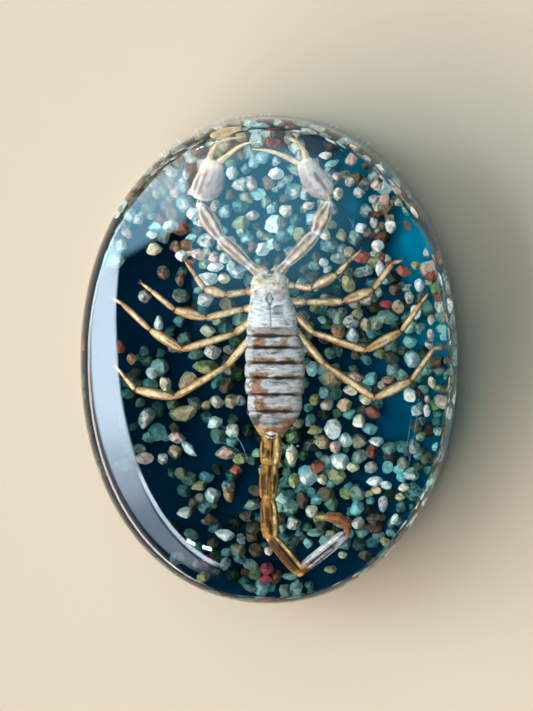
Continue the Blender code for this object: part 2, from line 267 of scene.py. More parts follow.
def dense_blue_painted_light():
    """The foot's blue resin from above: painted shade near black on the left, a painted glow of focused
    light on the right.
    """
    made = material("dense_blue_painted_light", {"Roughness": 0.35, "Specular IOR Level": 0.1})
    place = node(made, "ShaderNodeTexCoord").outputs["Object"]
    sides = node(made, "ShaderNodeSeparateXYZ", {"Vector": place}).outputs
    east = maths(made, "ADD", sides["X"], maths(made, "MULTIPLY", sides["Y"], DENSE_SLANT))
    cloud = maths(made, "MULTIPLY", object_noise(made, 110, detail=2.0), DENSE_WANDER)
    spread = {"Value": maths(made, "ADD", east, cloud), "From Min": DENSE_START, "From Max": DENSE_END}
    share = node(made, "ShaderNodeMapRange", spread).outputs[0]
    # Painted light: dark shade on the left and the glow of focused window light on the right, as colour by
    # place across the foot
    into_shader(made, "Base Color", ramp(made, share, DENSE_SHADE_AND_GLOW_STOPS))
    return made


def stone_skin():
    """The stones' own colours, with darker specks where the coat's alpha asks for them."""
    made = material("gravel_stone", {"Roughness": 0.62, "Specular IOR Level": 0.03})
    coat = node(made, "ShaderNodeAttribute", attribute_name="coat").outputs
    specks = ramp(
        made,
        object_noise(made, 1500, detail=4.0, roughness=0.7),
        ((0.34, (0.12, 0.12, 0.12)), (0.45, (0.6, 0.6, 0.6)), (0.53, (1, 1, 1)), (0.7, (1.3, 1.3, 1.28))),
    )
    into_shader(made, "Base Color", multiplied(made, coat["Color"], specks, coat["Alpha"]))
    bumped(made, object_noise(made, 1500), 0.5, 0.08 * MM)
    return made


def shell(name, roughness, streaks, coat_weight=0.0, depth=0.7):
    """The animal's painted shell, with fine wrinkles. The resin round it takes most of its gloss."""
    gloss = {"Specular IOR Level": 0.02, "Coat Weight": coat_weight, "Coat Roughness": 0.12}
    made = material(name, {"Roughness": roughness, **gloss})
    coat = node(made, "ShaderNodeAttribute", attribute_name="coat").outputs["Color"]
    wrinkles = object_noise(made, 1500, detail=4.0, stretch=streaks, roughness=0.65)
    grain = ramp(made, wrinkles, ((0.33, [1 - depth] * 3), (0.5, [0.95] * 3), (0.7, [1.2] * 3)))
    into_shader(made, "Base Color", multiplied(made, coat, grain, 1.0))
    bumped(made, object_noise(made, 1700, stretch=streaks), 0.7, 0.12 * MM)
    return made


def felt():
    made = material("white_felt", {"Roughness": 0.95, "Specular IOR Level": 0.1})
    stops = ((0.3, (0.36, 0.36, 0.355)), (0.65, (0.56, 0.56, 0.55)))
    into_shader(made, "Base Color", ramp(made, object_noise(made, 900, detail=5.0), stops))
    bumped(made, object_noise(made, 1600, detail=5.0), 0.8, 0.15 * MM)
    return made


# ---------------------------------------------------------------- block


def oval_point(turn):
    return superellipse(turn, OVAL_POWER)


def wall_station(z, inset=0.0):
    """The drafted wall at a height, or an oval that far inside it."""
    lean = inset + (z - FOOT_LEVEL) * DRAFT
    return 0, 0, z, FOOT_HALF.x - lean, FOOT_HALF.y - lean


def dome_stations():
    """Rings round the tight edge and over the low dome."""
    _, _, _, wide, deep = wall_station(RIM_HEIGHT)
    rings = []
    for i in range(1, EDGE_RINGS + 1):
        turn = math.pi / 2 * i / EDGE_RINGS
        inset = EDGE_WIDTH * (1 - math.cos(turn))
        dome = DOME_RISE * (1 - (1 - inset / MIDDLE_REACH) ** 2)
        z = RIM_HEIGHT + EDGE_RISE * math.sin(turn) + dome
        rings.append((0, 0, z, wide - inset, deep - inset))
    for i in range(1, DOME_RINGS + 1):
        shrink = 1 - 0.99 * i / DOME_RINGS
        reach = shrink * (1 - EDGE_WIDTH / MIDDLE_REACH)
        z = RIM_HEIGHT + EDGE_RISE + DOME_RISE * (1 - reach**2)
        rings.append((0, 0, z, (wide - EDGE_WIDTH) * shrink, (deep - EDGE_WIDTH) * shrink))
    return rings


def clear_block():
    foot_edge = 0.25 * MM
    stations = [
        wall_station(BLOCK_FOOT, foot_edge),
        wall_station(BLOCK_FOOT + foot_edge),
        *[wall_station(RIM_HEIGHT - (RIM_HEIGHT - BLOCK_FOOT) * i / 8) for i in range(7, -1, -1)],
        *dome_stations(),
    ]
    block = column("clear_block", stations, OVAL_SIDES, oval_point, pointed=True)
    smooth(block)
    dress(block, clear_resin(), "clear_resin", "resin_lower", "resin_upper")


def blue_layer():
    low = BLOCK_FOOT + BLUE_INSET
    bevel = 0.3 * MM
    stations = [
        wall_station(low, bevel),
        wall_station(low + bevel, BLUE_INSET),
        wall_station(BLUE_TOP - BLUE_DROP, BLUE_INSET),
    ]
    layer = column("blue_layer", stations, OVAL_SIDES, oval_point)
    smooth(layer, 40)
    dress(layer, blue_resin(), "blue_resin", "tinted_base")


def dense_layer():
    """The dense foot inside the blue layer, with a thin ledge round its top."""
    low = BLOCK_FOOT + 2 * BLUE_INSET
    insets = ((low, 0.6), (low + 0.3 * MM, 0.9), (BLUE_FLOOR, 1.0), (BLUE_FLOOR, 1.6))
    stations = [wall_station(height, inset * MM) for height, inset in insets]
    foot = column("dense_blue_foot", stations, OVAL_SIDES, oval_point)
    smooth(foot, 40)
    dress(foot, dense_blue_painted_light(), "blue_resin", "tinted_base")


# ---------------------------------------------------------------- gravel

STONE_COLOURS = {
    "white": (0.68, 0.69, 0.64),
    "cream": (0.74, 0.62, 0.44),
    "green": (0.33, 0.36, 0.29),
    "teal": (0.60, 0.70, 0.64),
    "tan": (0.46, 0.32, 0.20),
    "brown": (0.22, 0.125, 0.085),
    "speckled": (0.52, 0.48, 0.42),
    "pink": (0.58, 0.40, 0.34),
    "brick": (0.31, 0.09, 0.06),
    "orange": (0.42, 0.22, 0.12),
    "olive": (0.34, 0.31, 0.15),
    "magenta": (0.36, 0.06, 0.08),
}
STONE_SPECKS = {"white": 0.55, "teal": 0.5, "cream": 0.65, "speckled": 1.0, "brick": 0.6, "magenta": 0.7}
STONE_DEPTHS = {"teal": 0.8, "green": 0.45, "brown": 0.35}  # mm that the stone's top lies under the highest

# Stones that stand out, in mm: x, y, length across, length along, turn in degrees
STONES = {
    "cream": (
        (-16.3, 16.4, 2.0, 1.5, 10), (-8.6, 4.4, 1.9, 1.6, 0), (-6.3, 12.0, 1.6, 1.4, 0),
        (-14.6, -3.4, 1.5, 2.1, 15), (-7.3, -5.9, 1.9, 1.5, -15), (-5.2, -10.1, 1.6, 1.8, 0),
        (0.0, -27.9, 1.1, 1.2, 0), (23.1, 6.2, 0.9, 1.4, 0), (23.2, -3.1, 0.9, 1.7, 15),
        (11.5, -4.2, 1.8, 1.3, -10), (13.6, -5.5, 1.7, 1.3, -20), (12.7, -8.8, 1.6, 1.8, 20),
        (3.3, -13.5, 1.5, 2.7, 0), (11.9, -15.5, 1.6, 1.3, 0), (7.5, -17.2, 1.3, 1.3, 0),
        (19.3, -18.5, 1.4, 1.1, 5), (6.1, -22.0, 1.5, 1.7, 0), (10.6, -28.6, 1.2, 1.0, 0),
        (2.4, 21.8, 1.7, 1.7, 0),
    ),
    "speckled": (
        (-14.0, 19.7, 1.9, 1.7, 0), (-17.6, 9.5, 1.7, 1.7, 0), (-8.9, 17.5, 2.3, 2.0, 0),
        (-7.9, 1.4, 2.2, 1.8, 0), (-17.4, -8.4, 1.8, 2.8, -25), (-15.1, -14.4, 1.3, 1.5, 0),
        (11.6, 26.2, 1.5, 1.3, 30), (12.8, 24.6, 1.5, 1.4, 0), (14.9, 23.6, 1.4, 1.2, 0),
        (14.9, 20.2, 1.0, 1.5, 0), (19.9, 9.4, 1.2, 1.7, 0), (11.5, 5.8, 2.1, 1.9, 0),
        (16.3, -21.0, 1.2, 2.2, 0), (3.5, -23.7, 1.8, 1.7, 20),
    ),
    "white": (
        (-16.6, 18.5, 1.4, 1.2, 0), (-12.3, 15.4, 1.7, 1.6, 0), (-15.6, 5.6, 1.2, 1.9, 0),
        (-8.9, 8.9, 2.1, 1.9, 20), (-8.6, 12.0, 2.5, 1.6, 0), (-7.5, 13.7, 2.1, 1.3, 10),
        (-10.8, 21.5, 1.6, 1.7, 0), (-5.2, 27.4, 1.6, 1.7, 0), (1.0, 27.3, 1.9, 1.6, 0),
        (-0.9, 16.3, 1.9, 1.7, 30), (0.7, 19.8, 2.4, 2.4, 20), (-16.6, -1.8, 1.5, 1.5, 0),
        (-7.7, -8.9, 2.0, 1.4, 30), (-11.3, -12.8, 2.5, 1.2, -45), (-8.0, -19.7, 2.1, 2.2, 0),
        (-12.1, -22.3, 2.0, 1.5, 0), (-6.4, -25.5, 2.5, 1.5, -20), (8.0, 30.0, 1.6, 1.0, 0),
        (17.2, 19.6, 1.4, 1.6, 0), (13.1, 19.4, 1.5, 1.4, 20), (15.4, 16.9, 1.6, 1.7, 0),
        (7.8, 14.3, 1.2, 1.3, 0), (15.8, 13.5, 1.3, 2.3, 0), (21.4, 11.2, 1.3, 1.7, 0),
        (20.8, 7.3, 1.3, 1.8, 0), (11.7, 4.0, 1.6, 1.8, 0), (20.3, 0.4, 2.0, 2.2, 0),
        (20.0, -5.0, 1.6, 1.9, 20), (22.5, -7.2, 0.9, 1.6, 0), (9.0, -9.8, 2.1, 2.7, -10),
        (10.9, -11.5, 2.0, 1.8, -20), (15.2, -11.7, 1.9, 1.2, -10), (10.0, -14.6, 2.5, 2.1, -15),
        (5.4, -16.7, 2.6, 2.4, -30), (15.0, -17.6, 2.0, 1.3, 0), (18.0, -23.3, 0.9, 1.5, -30),
    ),
    "brown": (
        (-15.0, 12.9, 1.7, 1.7, 0), (-12.6, 12.1, 1.1, 2.0, 0), (-3.3, 15.8, 1.6, 1.2, 0),
        (-10.8, -21.0, 1.4, 2.0, -10), (-8.5, -23.3, 2.2, 1.5, 0), (-3.1, -22.8, 2.0, 1.4, 0),
        (-1.9, -18.9, 1.8, 1.3, -20), (17.5, 23.3, 0.9, 1.1, 0), (19.6, 19.8, 0.8, 1.5, 30),
        (17.8, 10.4, 1.7, 1.5, 15), (17.3, 0.5, 2.1, 2.0, 0), (4.8, -20.3, 1.6, 2.6, 10),
        (14.9, -23.1, 1.6, 1.5, 0), (13.7, -28.6, 1.5, 1.2, 0),
    ),
    "teal": (
        (-12.6, 5.9, 1.6, 1.6, 0), (-1.6, 24.2, 2.1, 1.5, 0), (-5.2, -11.7, 1.5, 1.4, 0),
        (-8.9, -17.0, 2.0, 1.5, 0), (-6.0, -28.2, 1.7, 1.3, 30), (8.9, 28.8, 2.0, 0.9, 25),
        (19.9, 2.8, 1.8, 1.7, 0), (11.4, -7.7, 1.8, 1.3, 20), (14.3, -9.9, 1.9, 1.5, 0),
        (16.9, -15.6, 1.4, 1.6, 0), (19.0, -17.0, 1.5, 1.5, 15), (6.9, -20.3, 1.8, 1.3, 35),
        (5.6, -26.8, 1.2, 1.4, 0),
    ),
    "green": (
        (-6.0, 4.6, 1.9, 2.1, 0), (-4.0, 18.8, 1.1, 1.9, 0), (-1.4, 14.6, 1.5, 2.0, -20),
        (-10.3, 1.2, 2.1, 1.5, 15), (-7.1, -10.7, 2.0, 2.3, 0), (-18.4, -12.9, 1.6, 1.2, 0),
        (-11.5, -17.2, 1.9, 1.8, -20), (-2.6, -33.6, 2.1, 0.9, -15), (-2.5, -21.0, 2.0, 1.4, 10),
        (12.2, 17.9, 1.9, 2.1, 0), (8.5, 16.8, 2.2, 2.2, 30), (9.8, 15.0, 2.0, 1.5, 0),
        (16.6, 6.5, 2.8, 2.0, 0), (21.4, 4.8, 1.4, 1.5, 0), (8.6, 1.2, 1.5, 1.5, 0),
        (18.8, -2.0, 1.6, 1.6, 10), (17.0, -12.8, 1.8, 1.6, 10), (12.8, -14.1, 1.8, 2.2, -30),
        (8.0, -14.4, 1.4, 1.5, -30), (12.5, -19.4, 2.3, 2.4, -20), (2.8, -21.5, 2.2, 2.4, -30),
        (6.7, -25.2, 2.1, 1.1, 15), (8.1, -26.6, 1.7, 1.9, 0), (3.2, -31.8, 2.3, 1.0, 0),
        (1.9, 18.3, 2.5, 1.9, 20),
    ),
    "pink": (
        (-10.0, 15.5, 1.8, 1.5, 0), (-2.6, 25.8, 1.5, 2.0, 20), (-13.0, -11.2, 2.2, 1.5, -10),
        (-6.0, -13.3, 2.8, 1.6, 0), (-17.7, -14.3, 2.2, 1.5, 5), (9.7, 26.9, 1.3, 1.1, 0),
        (23.0, 3.9, 0.9, 1.5, 0), (12.2, -2.3, 2.3, 1.6, 0), (8.2, -6.3, 1.7, 1.4, 15),
        (9.4, -12.4, 1.4, 1.6, 0), (14.5, -15.6, 1.6, 1.5, 30),
    ),
    "brick": (
        (-21.2, 2.1, 1.3, 1.7, 0), (-4.7, -15.7, 1.6, 1.2, 0), (13.2, 15.2, 2.1, 1.6, 20),
        (19.1, 13.2, 2.0, 1.3, -15), (14.7, -7.5, 2.2, 1.6, -25), (14.5, -13.2, 1.4, 1.9, 0),
        (6.9, -15.4, 1.8, 1.9, -30),
    ),
    "orange": (
        (-19.5, 0.3, 1.2, 1.5, 0), (-5.7, -19.5, 1.3, 2.0, 10), (9.7, 4.5, 1.9, 1.9, -20),
        (16.8, -2.7, 1.6, 1.0, 0),
    ),
    "olive": (
        (-8.8, -0.9, 3.3, 1.8, 0), (-4.0, -14.1, 2.2, 1.5, 15), (-10.0, -18.3, 2.0, 1.3, 15),
        (-9.4, -31.9, 1.7, 1.2, 0), (11.2, 11.3, 1.6, 2.3, 20), (6.4, -5.5, 1.4, 1.5, 0),
        (6.5, -9.9, 1.9, 1.2, 10), (3.6, -17.4, 1.3, 1.9, 0), (9.7, -16.8, 2.3, 2.2, 0),
        (18.9, -20.0, 1.5, 1.2, 0), (8.9, -30.8, 1.6, 1.0, 10),
    ),
    "tan": (
        (-12.2, -7.7, 3.5, 2.0, 15), (-11.4, -3.0, 2.0, 2.7, -30), (-5.3, -5.8, 1.6, 1.8, 0),
        (-13.2, -13.3, 1.9, 1.9, 0), (18.2, 8.0, 1.5, 1.8, 0), (13.6, 5.4, 1.3, 1.7, 15),
        (8.7, -2.4, 2.9, 2.6, -15), (22.6, -5.5, 0.8, 1.1, 0), (10.6, -6.3, 1.8, 1.9, 0),
        (7.7, -11.7, 2.0, 1.8, 0), (15.3, -18.9, 1.4, 1.0, -10),
    ),
    "magenta": (
        (-8.9, -29.5, 1.6, 1.5, 0), (-0.3, -30.6, 1.8, 1.9, 0), (-0.5, -32.1, 1.7, 1.0, 0),
        (16.5, 8.4, 1.6, 1.0, 0),
    ),
}
# Places with no stones between the ones above, in mm: middle x, y and half widths
BARE_PATCHES = (
    (-17.5, 10.6, 4.5, 9.0),
    (11.3, 21.3, 2.5, 2.5),
    (19.6, 17.7, 2.8, 4.0),
    (17.6, -8.2, 3.0, 4.0),
    (-16.8, -20.7, 3.8, 6.5),
    (-24.0, -2.0, 3.2, 20.0),
    (-9.9, -13.7, 2.0, 2.0),
    (9.8, -30.5, 9.0, 3.0),
)
FILLER_KINDS = (
    "white", "teal", "green", "tan", "tan", "brown", "brown", "brown", "speckled", "speckled", "speckled",
    "cream", "olive", "pink", "pink", "brick",
)
FILLER_COUNT = 560
FILLER_RADIUS = (0.55, 1.15)
FILLER_DEPTH = (0.35, 1.8)
FILLER_GAP = 0.62  # the least distance of two fillers' middles, as a share of their radii
PLACED_GAP = 0.7  # and of a filler and a placed stone
# Left of this side and below the pincers, in mm, this share of the fillers is left out
SPARSE_SIDE = -3.0
SPARSE_FRONT = 12.0
SPARSE_SHARE = 0.7
STONE_TOP = 8.5 * MM
STONE_SWELL = 1.2
PLACED_DEPTH = 0.29
FRONT_DEPTH = 0.25  # mm that the stones lie deeper in the front half
STONE_FLATNESS = (0.75, 1.0)  # a stone's height as a share of its narrower width
STONE_TILT = 0.3
# The shapes that the stones share, one unit across: how their balls are dented, and their flat facets
STONE_SHAPES = 12
STONE_DENTS = (0.82, 1.1)
FACETS = 9
FACET_PLACES = (0.27, 0.4)
MERGED_GAP = 0.06


def stone_shape(chance):
    """Points and faces of one pebble, one unit across: a dented ball with a few flat facets."""
    bpy.ops.object.select_all(action="DESELECT")
    bpy.ops.mesh.primitive_uv_sphere_add(segments=8, ring_count=5, radius=0.5)
    obj = bpy.context.object
    for vert in obj.data.vertices:
        vert.co *= chance.uniform(*STONE_DENTS)
    bpy.ops.object.mode_set(mode="EDIT")
    for _ in range(FACETS):
        bpy.ops.mesh.select_all(action="SELECT")
        away = Vector([chance.uniform(-1, 1) for _ in range(3)]).normalized()
        place = away * chance.uniform(*FACET_PLACES)
        bpy.ops.mesh.bisect(plane_co=place, plane_no=away, use_fill=True, clear_outer=True)
    bpy.ops.mesh.select_all(action="SELECT")
    bpy.ops.mesh.remove_doubles(threshold=MERGED_GAP)
    bpy.ops.mesh.normals_make_consistent(inside=False)
    bpy.ops.object.mode_set(mode="OBJECT")
    points = np.array([vert.co[:] for vert in obj.data.vertices])
    low = points.min(axis=0)
    high = points.max(axis=0)
    points = (points - (low + high) / 2) / (high - low)
    faces = [tuple(face.vertices) for face in obj.data.polygons]
    bpy.data.objects.remove(obj, do_unlink=True)
    return points, faces


def nearest(x, y, radius, stones):
    """The least distance to other stones' middles, as a share of the two radii."""
    gaps = [math.hypot(x - other[1], y - other[2]) / (radius + other[3] / 2) for other in stones]
    return min(gaps, default=9)


def filler_stones(chance, placed):
    """Seeded stones of the lower courses, between the placed ones and off the bare patches."""
    reach = Vector(wall_station(BLUE_TOP, 1.9 * MM)[3:]) / MM
    found = []
    for _ in range(FILLER_COUNT * 12):
        if len(found) == FILLER_COUNT:
            break
        radius = chance.uniform(*FILLER_RADIUS)
        x = chance.uniform(-reach.x, reach.x)
        y = chance.uniform(-reach.y, reach.y)
        if (abs(x) / (reach.x - radius)) ** OVAL_POWER + (abs(y) / (reach.y - radius)) ** OVAL_POWER > 1:
            continue
        if any(((x - px) / rx) ** 2 + ((y - py) / ry) ** 2 < 1 for px, py, rx, ry in BARE_PATCHES):
            continue
        if nearest(x, y, radius, found) < FILLER_GAP or nearest(x, y, radius, placed) < PLACED_GAP:
            continue
        if x < SPARSE_SIDE and y < SPARSE_FRONT and chance.random() < SPARSE_SHARE:
            continue
        kind = chance.choice(FILLER_KINDS)
        depth = chance.uniform(*FILLER_DEPTH) * (1 - 0.45 * step(8, 16, y))
        along = 2 * radius * chance.uniform(0.7, 1)
        found.append((kind, x, y, 2 * radius, along, chance.uniform(0, 180), depth))
    return found


def painted_stone_shade(x, y, depth):
    """Painted shade: the stones are darker low on the left, and the deeper ones more so."""
    painted_lit_share = 0.42 + 0.58 * max(step(-9, 9, x), step(6, 20, y))
    return painted_lit_share if depth > 0.3 else math.sqrt(painted_lit_share)


def gravel():
    chance = random.Random(21)
    shapes = [stone_shape(chance) for _ in range(STONE_SHAPES)]
    placed = [
        (kind, *place, STONE_DEPTHS.get(kind, 0.0) + chance.uniform(0, PLACED_DEPTH))
        for kind, places in STONES.items()
        for place in places
    ]
    points = []
    faces = []
    colours = []
    for kind, x, y, across, along, turn, depth in placed + filler_stones(chance, placed):
        shape, sides = shapes[chance.randrange(STONE_SHAPES)]
        high = min(across, along) * chance.uniform(*STONE_FLATNESS)
        size = np.array([across, along, high]) * MM * STONE_SWELL
        tilt = Matrix.Rotation(chance.uniform(-STONE_TILT, STONE_TILT), 3, "X")
        tilt @= Matrix.Rotation(chance.uniform(-STONE_TILT, STONE_TILT), 3, "Y")
        spin = Matrix.Rotation(math.radians(turn), 3, "Z") @ tilt
        moved = (shape * size) @ np.array(spin).T
        moved += np.array([x * MM, y * MM, 0])
        sunk = depth + FRONT_DEPTH * step(10, 4, y)
        moved[:, 2] += STONE_TOP - sunk * MM - moved[:, 2].max()
        moved[:, 2] = np.maximum(moved[:, 2], BLUE_FLOOR - 0.4 * MM)
        faces += [tuple(len(points) + i for i in face) for face in sides]
        points += moved.tolist()
        # Each stone's random tone, times the painted shade low on the left
        tone = chance.uniform(0.8, 1.1) * painted_stone_shade(x, y, depth)
        warm = chance.uniform(0.95, 1.05)
        r, g, b = STONE_COLOURS[kind]
        colours += [(r * tone * warm, g * tone, b * tone / warm, STONE_SPECKS.get(kind, 0.7))] * len(moved)
    stones = meshed("gravel_stones", points, faces)
    coat = stones.data.color_attributes.new("coat", "FLOAT_COLOR", "POINT")
    coat.data.foreach_set("color", np.array(colours).ravel())
    smooth(stones, 14)
    dress(stones, stone_skin(), "gravel", "gravel")


# ---------------------------------------------------------------- scorpion

SHELL = {
    "silver": (0.56, 0.57, 0.60),
    "grey": (0.23, 0.23, 0.24),
    "white": (0.77, 0.75, 0.73),
    "brown": (0.21, 0.07, 0.008),
    "dark": (0.02, 0.012, 0.008),
    "cream": (0.66, 0.52, 0.37),
    "orange": (0.48, 0.25, 0.10),
    "mauve": (0.29, 0.17, 0.165),
    "shadow": (0.20, 0.09, 0.06),
    "tan": (0.56, 0.37, 0.18),
    "straw": (0.78, 0.62, 0.39),
    "ridge": (0.68, 0.49, 0.32),
    "amber": (0.25, 0.10, 0.022),
    "gold": (0.46, 0.24, 0.055),
    "honey": (0.40, 0.16, 0.025),
    "bronze": (0.15, 0.065, 0.015),
    "skin": (0.57, 0.46, 0.385),
    # the tail's painted highlight
    "painted_highlight": (0.95, 0.66, 0.28),
    "olive": (0.13, 0.08, 0.03),
    "keel": (0.04, 0.016, 0.006),
    "violet": (0.20, 0.19, 0.24),
    "russet": (0.28, 0.09, 0.025),
}

# The body, in mm: y, middle x and half width of the shield's sections and of each back plate's rear edge
SHIELD_SECTIONS = (
    (13.7, 0.0, 1.3),
    (12.9, 0.2, 2.3),
    (11.5, 0.2, 2.65),
    (9.9, 0.3, 2.8),
    (8.3, 0.5, 3.25),
    (7.3, 0.6, 3.45),
)
BACK_PLATES = (
    (5.6, 0.65, 3.55),
    (4.3, 0.7, 3.75),
    (2.6, 0.95, 3.95),
    (0.4, 0.95, 4.2),
    (-1.8, 0.95, 4.3),
    (-4.2, 0.95, 4.2),
    (-6.7, 0.95, 3.9),
)
LAST_PLATE = ((-8.5, 0.8, 2.95), (-10.3, 0.5, 1.6))
BODY_RISE = 1.95
BODY_DROP = 1.6
BODY_POWER = 2.4
BODY_SIDES = 160
RING_STEP = 0.13  # mm between the body's rings
# A plate's fullness from its front, tucked under the plate before, to its rear edge
PLATE_CURVE = (
    (0.0, 0.9), (0.06, 0.945), (0.2, 0.98), (0.45, 1.0), (0.75, 0.998), (0.92, 0.975), (1.0, 0.945),
)
PLATE_GAP = 0.03
UPPER_SIDE = -0.4 * MM  # the back's colours reach this far below the body's widest line

# Stains on the back, in mm: colour, left, right, front, rear, strength
STAINS = (
    ("brown", -2.1, 3.8, 5.5, 4.4, 0.5),
    ("grey", -1.6, 3.5, 5.4, 4.95, 0.55),
    ("brown", -1.9, -0.2, 4.0, 2.65, 0.9),
    ("brown", 1.7, 2.9, 4.0, 2.7, 0.85),
    ("brown", -2.6, 3.6, 2.9, 2.65, 0.5),
    ("white", -0.2, 2.1, 4.25, 3.8, 0.8),
    ("grey", -0.7, 2.7, 2.2, 1.6, 0.75),
    ("dark", -1.35, -0.85, 1.85, 1.4, 0.8),
    ("brown", -2.15, 1.15, 1.1, 0.45, 0.95),
    ("brown", 2.25, 4.0, 1.1, 0.45, 0.95),
    ("dark", -1.9, -1.25, -0.5, -0.85, 0.75),
    ("brown", -2.5, 0.1, -0.9, -1.75, 0.95),
    ("brown", 1.9, 3.5, -1.2, -1.75, 0.85),
    ("dark", -2.0, 0.0, -1.65, -1.9, 0.7),
    ("brown", -2.3, -0.95, -2.1, -3.5, 0.95),
    ("brown", -2.5, 0.05, -3.4, -4.15, 0.95),
    ("grey", -0.4, 2.8, -2.3, -3.0, 0.45),
    ("brown", -1.9, -0.45, -4.7, -6.6, 0.95),
    ("brown", -0.6, 3.5, -5.95, -6.6, 0.9),
    ("dark", -1.75, -1.2, -4.35, -4.75, 0.8),
    ("grey", -0.8, 2.5, -4.5, -5.6, 0.45),
    ("dark", -1.7, -0.9, -7.0, -7.8, 0.85),
    ("dark", -2.5, -1.2, -7.3, -9.2, 0.85),
    ("keel", -0.8, 1.8, -9.3, -10.4, 0.7),
    ("gold", -2.3, -0.5, -8.8, -10.3, 0.8),
    ("brown", -0.6, 3.2, -9.0, -10.3, 0.9),
    ("brown", 2.0, 3.6, -7.6, -9.4, 0.8),
    ("grey", 0.6, 2.2, -7.0, -8.7, 0.7),
)
# Round marks on the body, in mm: colour, x, y, radius, strength
MARKS = (
    ("orange", -0.96, 12.1, 0.45, 0.9),
    ("orange", 1.07, 12.0, 0.55, 0.85),
    ("russet", -1.84, 10.7, 0.32, 0.75),
    ("russet", 2.1, 11.2, 0.3, 0.75),
    ("dark", 0.43, 13.5, 0.42, 0.95),
    ("mauve", 0.25, 9.75, 0.45, 0.7),
    ("mauve", 1.6, 10.1, 1.0, 0.5),
    ("mauve", -1.3, 10.0, 0.8, 0.4),
    ("grey", 1.5, 8.1, 0.8, 0.6),
    ("white", 0.43, -0.35, 0.24, 0.9),
    ("dark", 0.43, -0.35, 0.12, 0.95),
    ("white", 0.3, -2.6, 0.24, 0.9),
    ("dark", 0.3, -2.6, 0.12, 0.95),
    ("dark", 0.5, -10.0, 0.5, 0.8),
)
# Grooves of the shield, in mm: the ends of each and how deep it is, which also sets how dark its painted
# shade is
GROOVES = (
    ((0.25, 10.6), (-0.25, 9.7), 0.12),
    ((-0.25, 9.7), (0.3, 8.8), 0.15),
    ((0.25, 10.6), (0.75, 9.7), 0.12),
    ((0.75, 9.7), (0.3, 8.8), 0.15),
    ((0.3, 8.8), (0.4, 5.8), 0.12),
    ((0.9, 8.5), (2.0, 8.8), 0.08),
    ((0.8, 7.8), (2.2, 7.6), 0.08),
    ((-1.9, 8.3), (-0.7, 7.9), 0.07),
)
# Raised lines, in mm: the ends of each and how high it is
RIDGES = (
    ((0.47, 3.5), (0.5, 1.1), 0.05),
    ((0.47, -5.0), (0.5, -6.4), 0.1),
    ((0.4, -7.1), (0.5, -8.7), 0.14),
    ((-0.5, 11.1), (-0.8, 13.1), 0.14),
    ((1.3, 11.1), (1.6, 12.9), 0.14),
)

# Joints of the legs, in mm, from the body out: hip, trochanter, knee, ankle, heel, claw
LEGS = {
    "left_1": ((-1.5, 10.7), (-3.2, 10.6), (-6.0, 10.2), (-9.1, 11.0), (-10.4, 12.9), (-11.9, 15.0)),
    "left_2": ((-1.7, 8.3), (-3.5, 8.1), (-8.9, 6.8), (-13.4, 8.0), (-16.8, 10.8), (-18.3, 11.9)),
    "left_3": ((-2.1, 6.7), (-4.8, 4.5), (-12.3, 2.2), (-17.0, 5.1), (-21.1, 8.9), (-22.4, 9.6)),
    "left_4": ((-2.1, 4.4), (-5.9, -0.2), (-13.5, -4.8), (-19.2, -3.7), (-20.7, -1.9), (-22.2, -0.2)),
    "right_1": ((1.8, 11.5), (3.8, 11.5), (6.3, 11.2), (9.8, 13.1), (11.4, 14.9), (13.2, 16.6)),
    "right_2": ((2.4, 9.2), (5.4, 9.1), (10.7, 9.2), (15.1, 11.0), (17.9, 14.8), (19.2, 15.2)),
    "right_3": ((3.4, 7.7), (6.4, 4.7), (14.0, 2.1), (19.1, 4.9), (22.1, 9.1), (23.0, 10.3)),
    "right_4": ((3.3, 5.8), (7.9, 0.2), (15.3, -4.9), (20.6, -2.3), (24.0, 2.4), (25.1, 2.5)),
}
LEG_HEIGHTS = (15.1, 15.3, 15.75, 15.5, 15.35, 15.25)
LEG_WIDTHS = (0.55, 0.52, 0.7, 0.4, 0.27)
LEG_ROUNDNESS = (0.9, 0.9, 0.85, 0.9, 0.9)  # a segment's height as a share of its width
KNOB_SIZES = (0.3, 0.3, 0.3, 0.24)
SIDE_KNOB = 0.17
CLAW_WIDTHS = (0.09, 0.07, 0.015)
SPINES = (0.35, 0.6, 0.85)  # their places, as shares of the way from ankle to heel
SPINE_WIDTHS = (0.05, 0.012)
# Fullness along each leg segment, from the body out
LEG_CURVES = (
    ((0, 0.7), (0.3, 1.0), (0.8, 0.95), (1, 0.7)),
    ((0, 0.6), (0.1, 0.8), (0.5, 1.0), (0.9, 0.92), (1, 0.62)),
    ((0, 0.4), (0.12, 0.68), (0.45, 1.0), (0.75, 0.9), (0.94, 0.6), (1, 0.42)),
    ((0, 0.6), (0.12, 0.95), (0.6, 1.0), (0.93, 0.8), (1, 0.55)),
    ((0, 0.75), (0.2, 1.0), (0.7, 0.75), (1, 0.35)),
)

PINCERS = {
    "left": {
        "arm": ((-0.6, 12.8), (-2.6, 14.4), (-6.9, 18.4), (-9.8, 23.2), (-9.8, 24.3)),
        "palm": ((-9.8, 24.0), (-8.5, 26.4), (-7.9, 29.8)),
        "fingers": (
            ((-8.5, 29.4), (-8.1, 31.1), (-6.9, 32.4), (-3.7, 33.1)),
            ((-7.2, 29.4), (-5.7, 30.6), (-4.1, 31.8), (-1.6, 32.6)),
        ),
    },
    "right": {
        "arm": ((1.0, 12.8), (2.6, 14.6), (6.8, 19.0), (8.7, 23.4), (8.6, 24.9)),
        "palm": ((8.7, 24.6), (6.7, 26.8), (5.0, 29.8)),
        "fingers": (
            ((5.5, 29.6), (5.1, 31.2), (4.1, 32.4), (2.4, 33.2)),
            ((4.4, 29.3), (2.4, 30.3), (0.1, 31.1), (-2.4, 31.4)),
        ),
    },
}
ARM_WIDTHS = (0.75, 0.95, 1.15, 0.6)
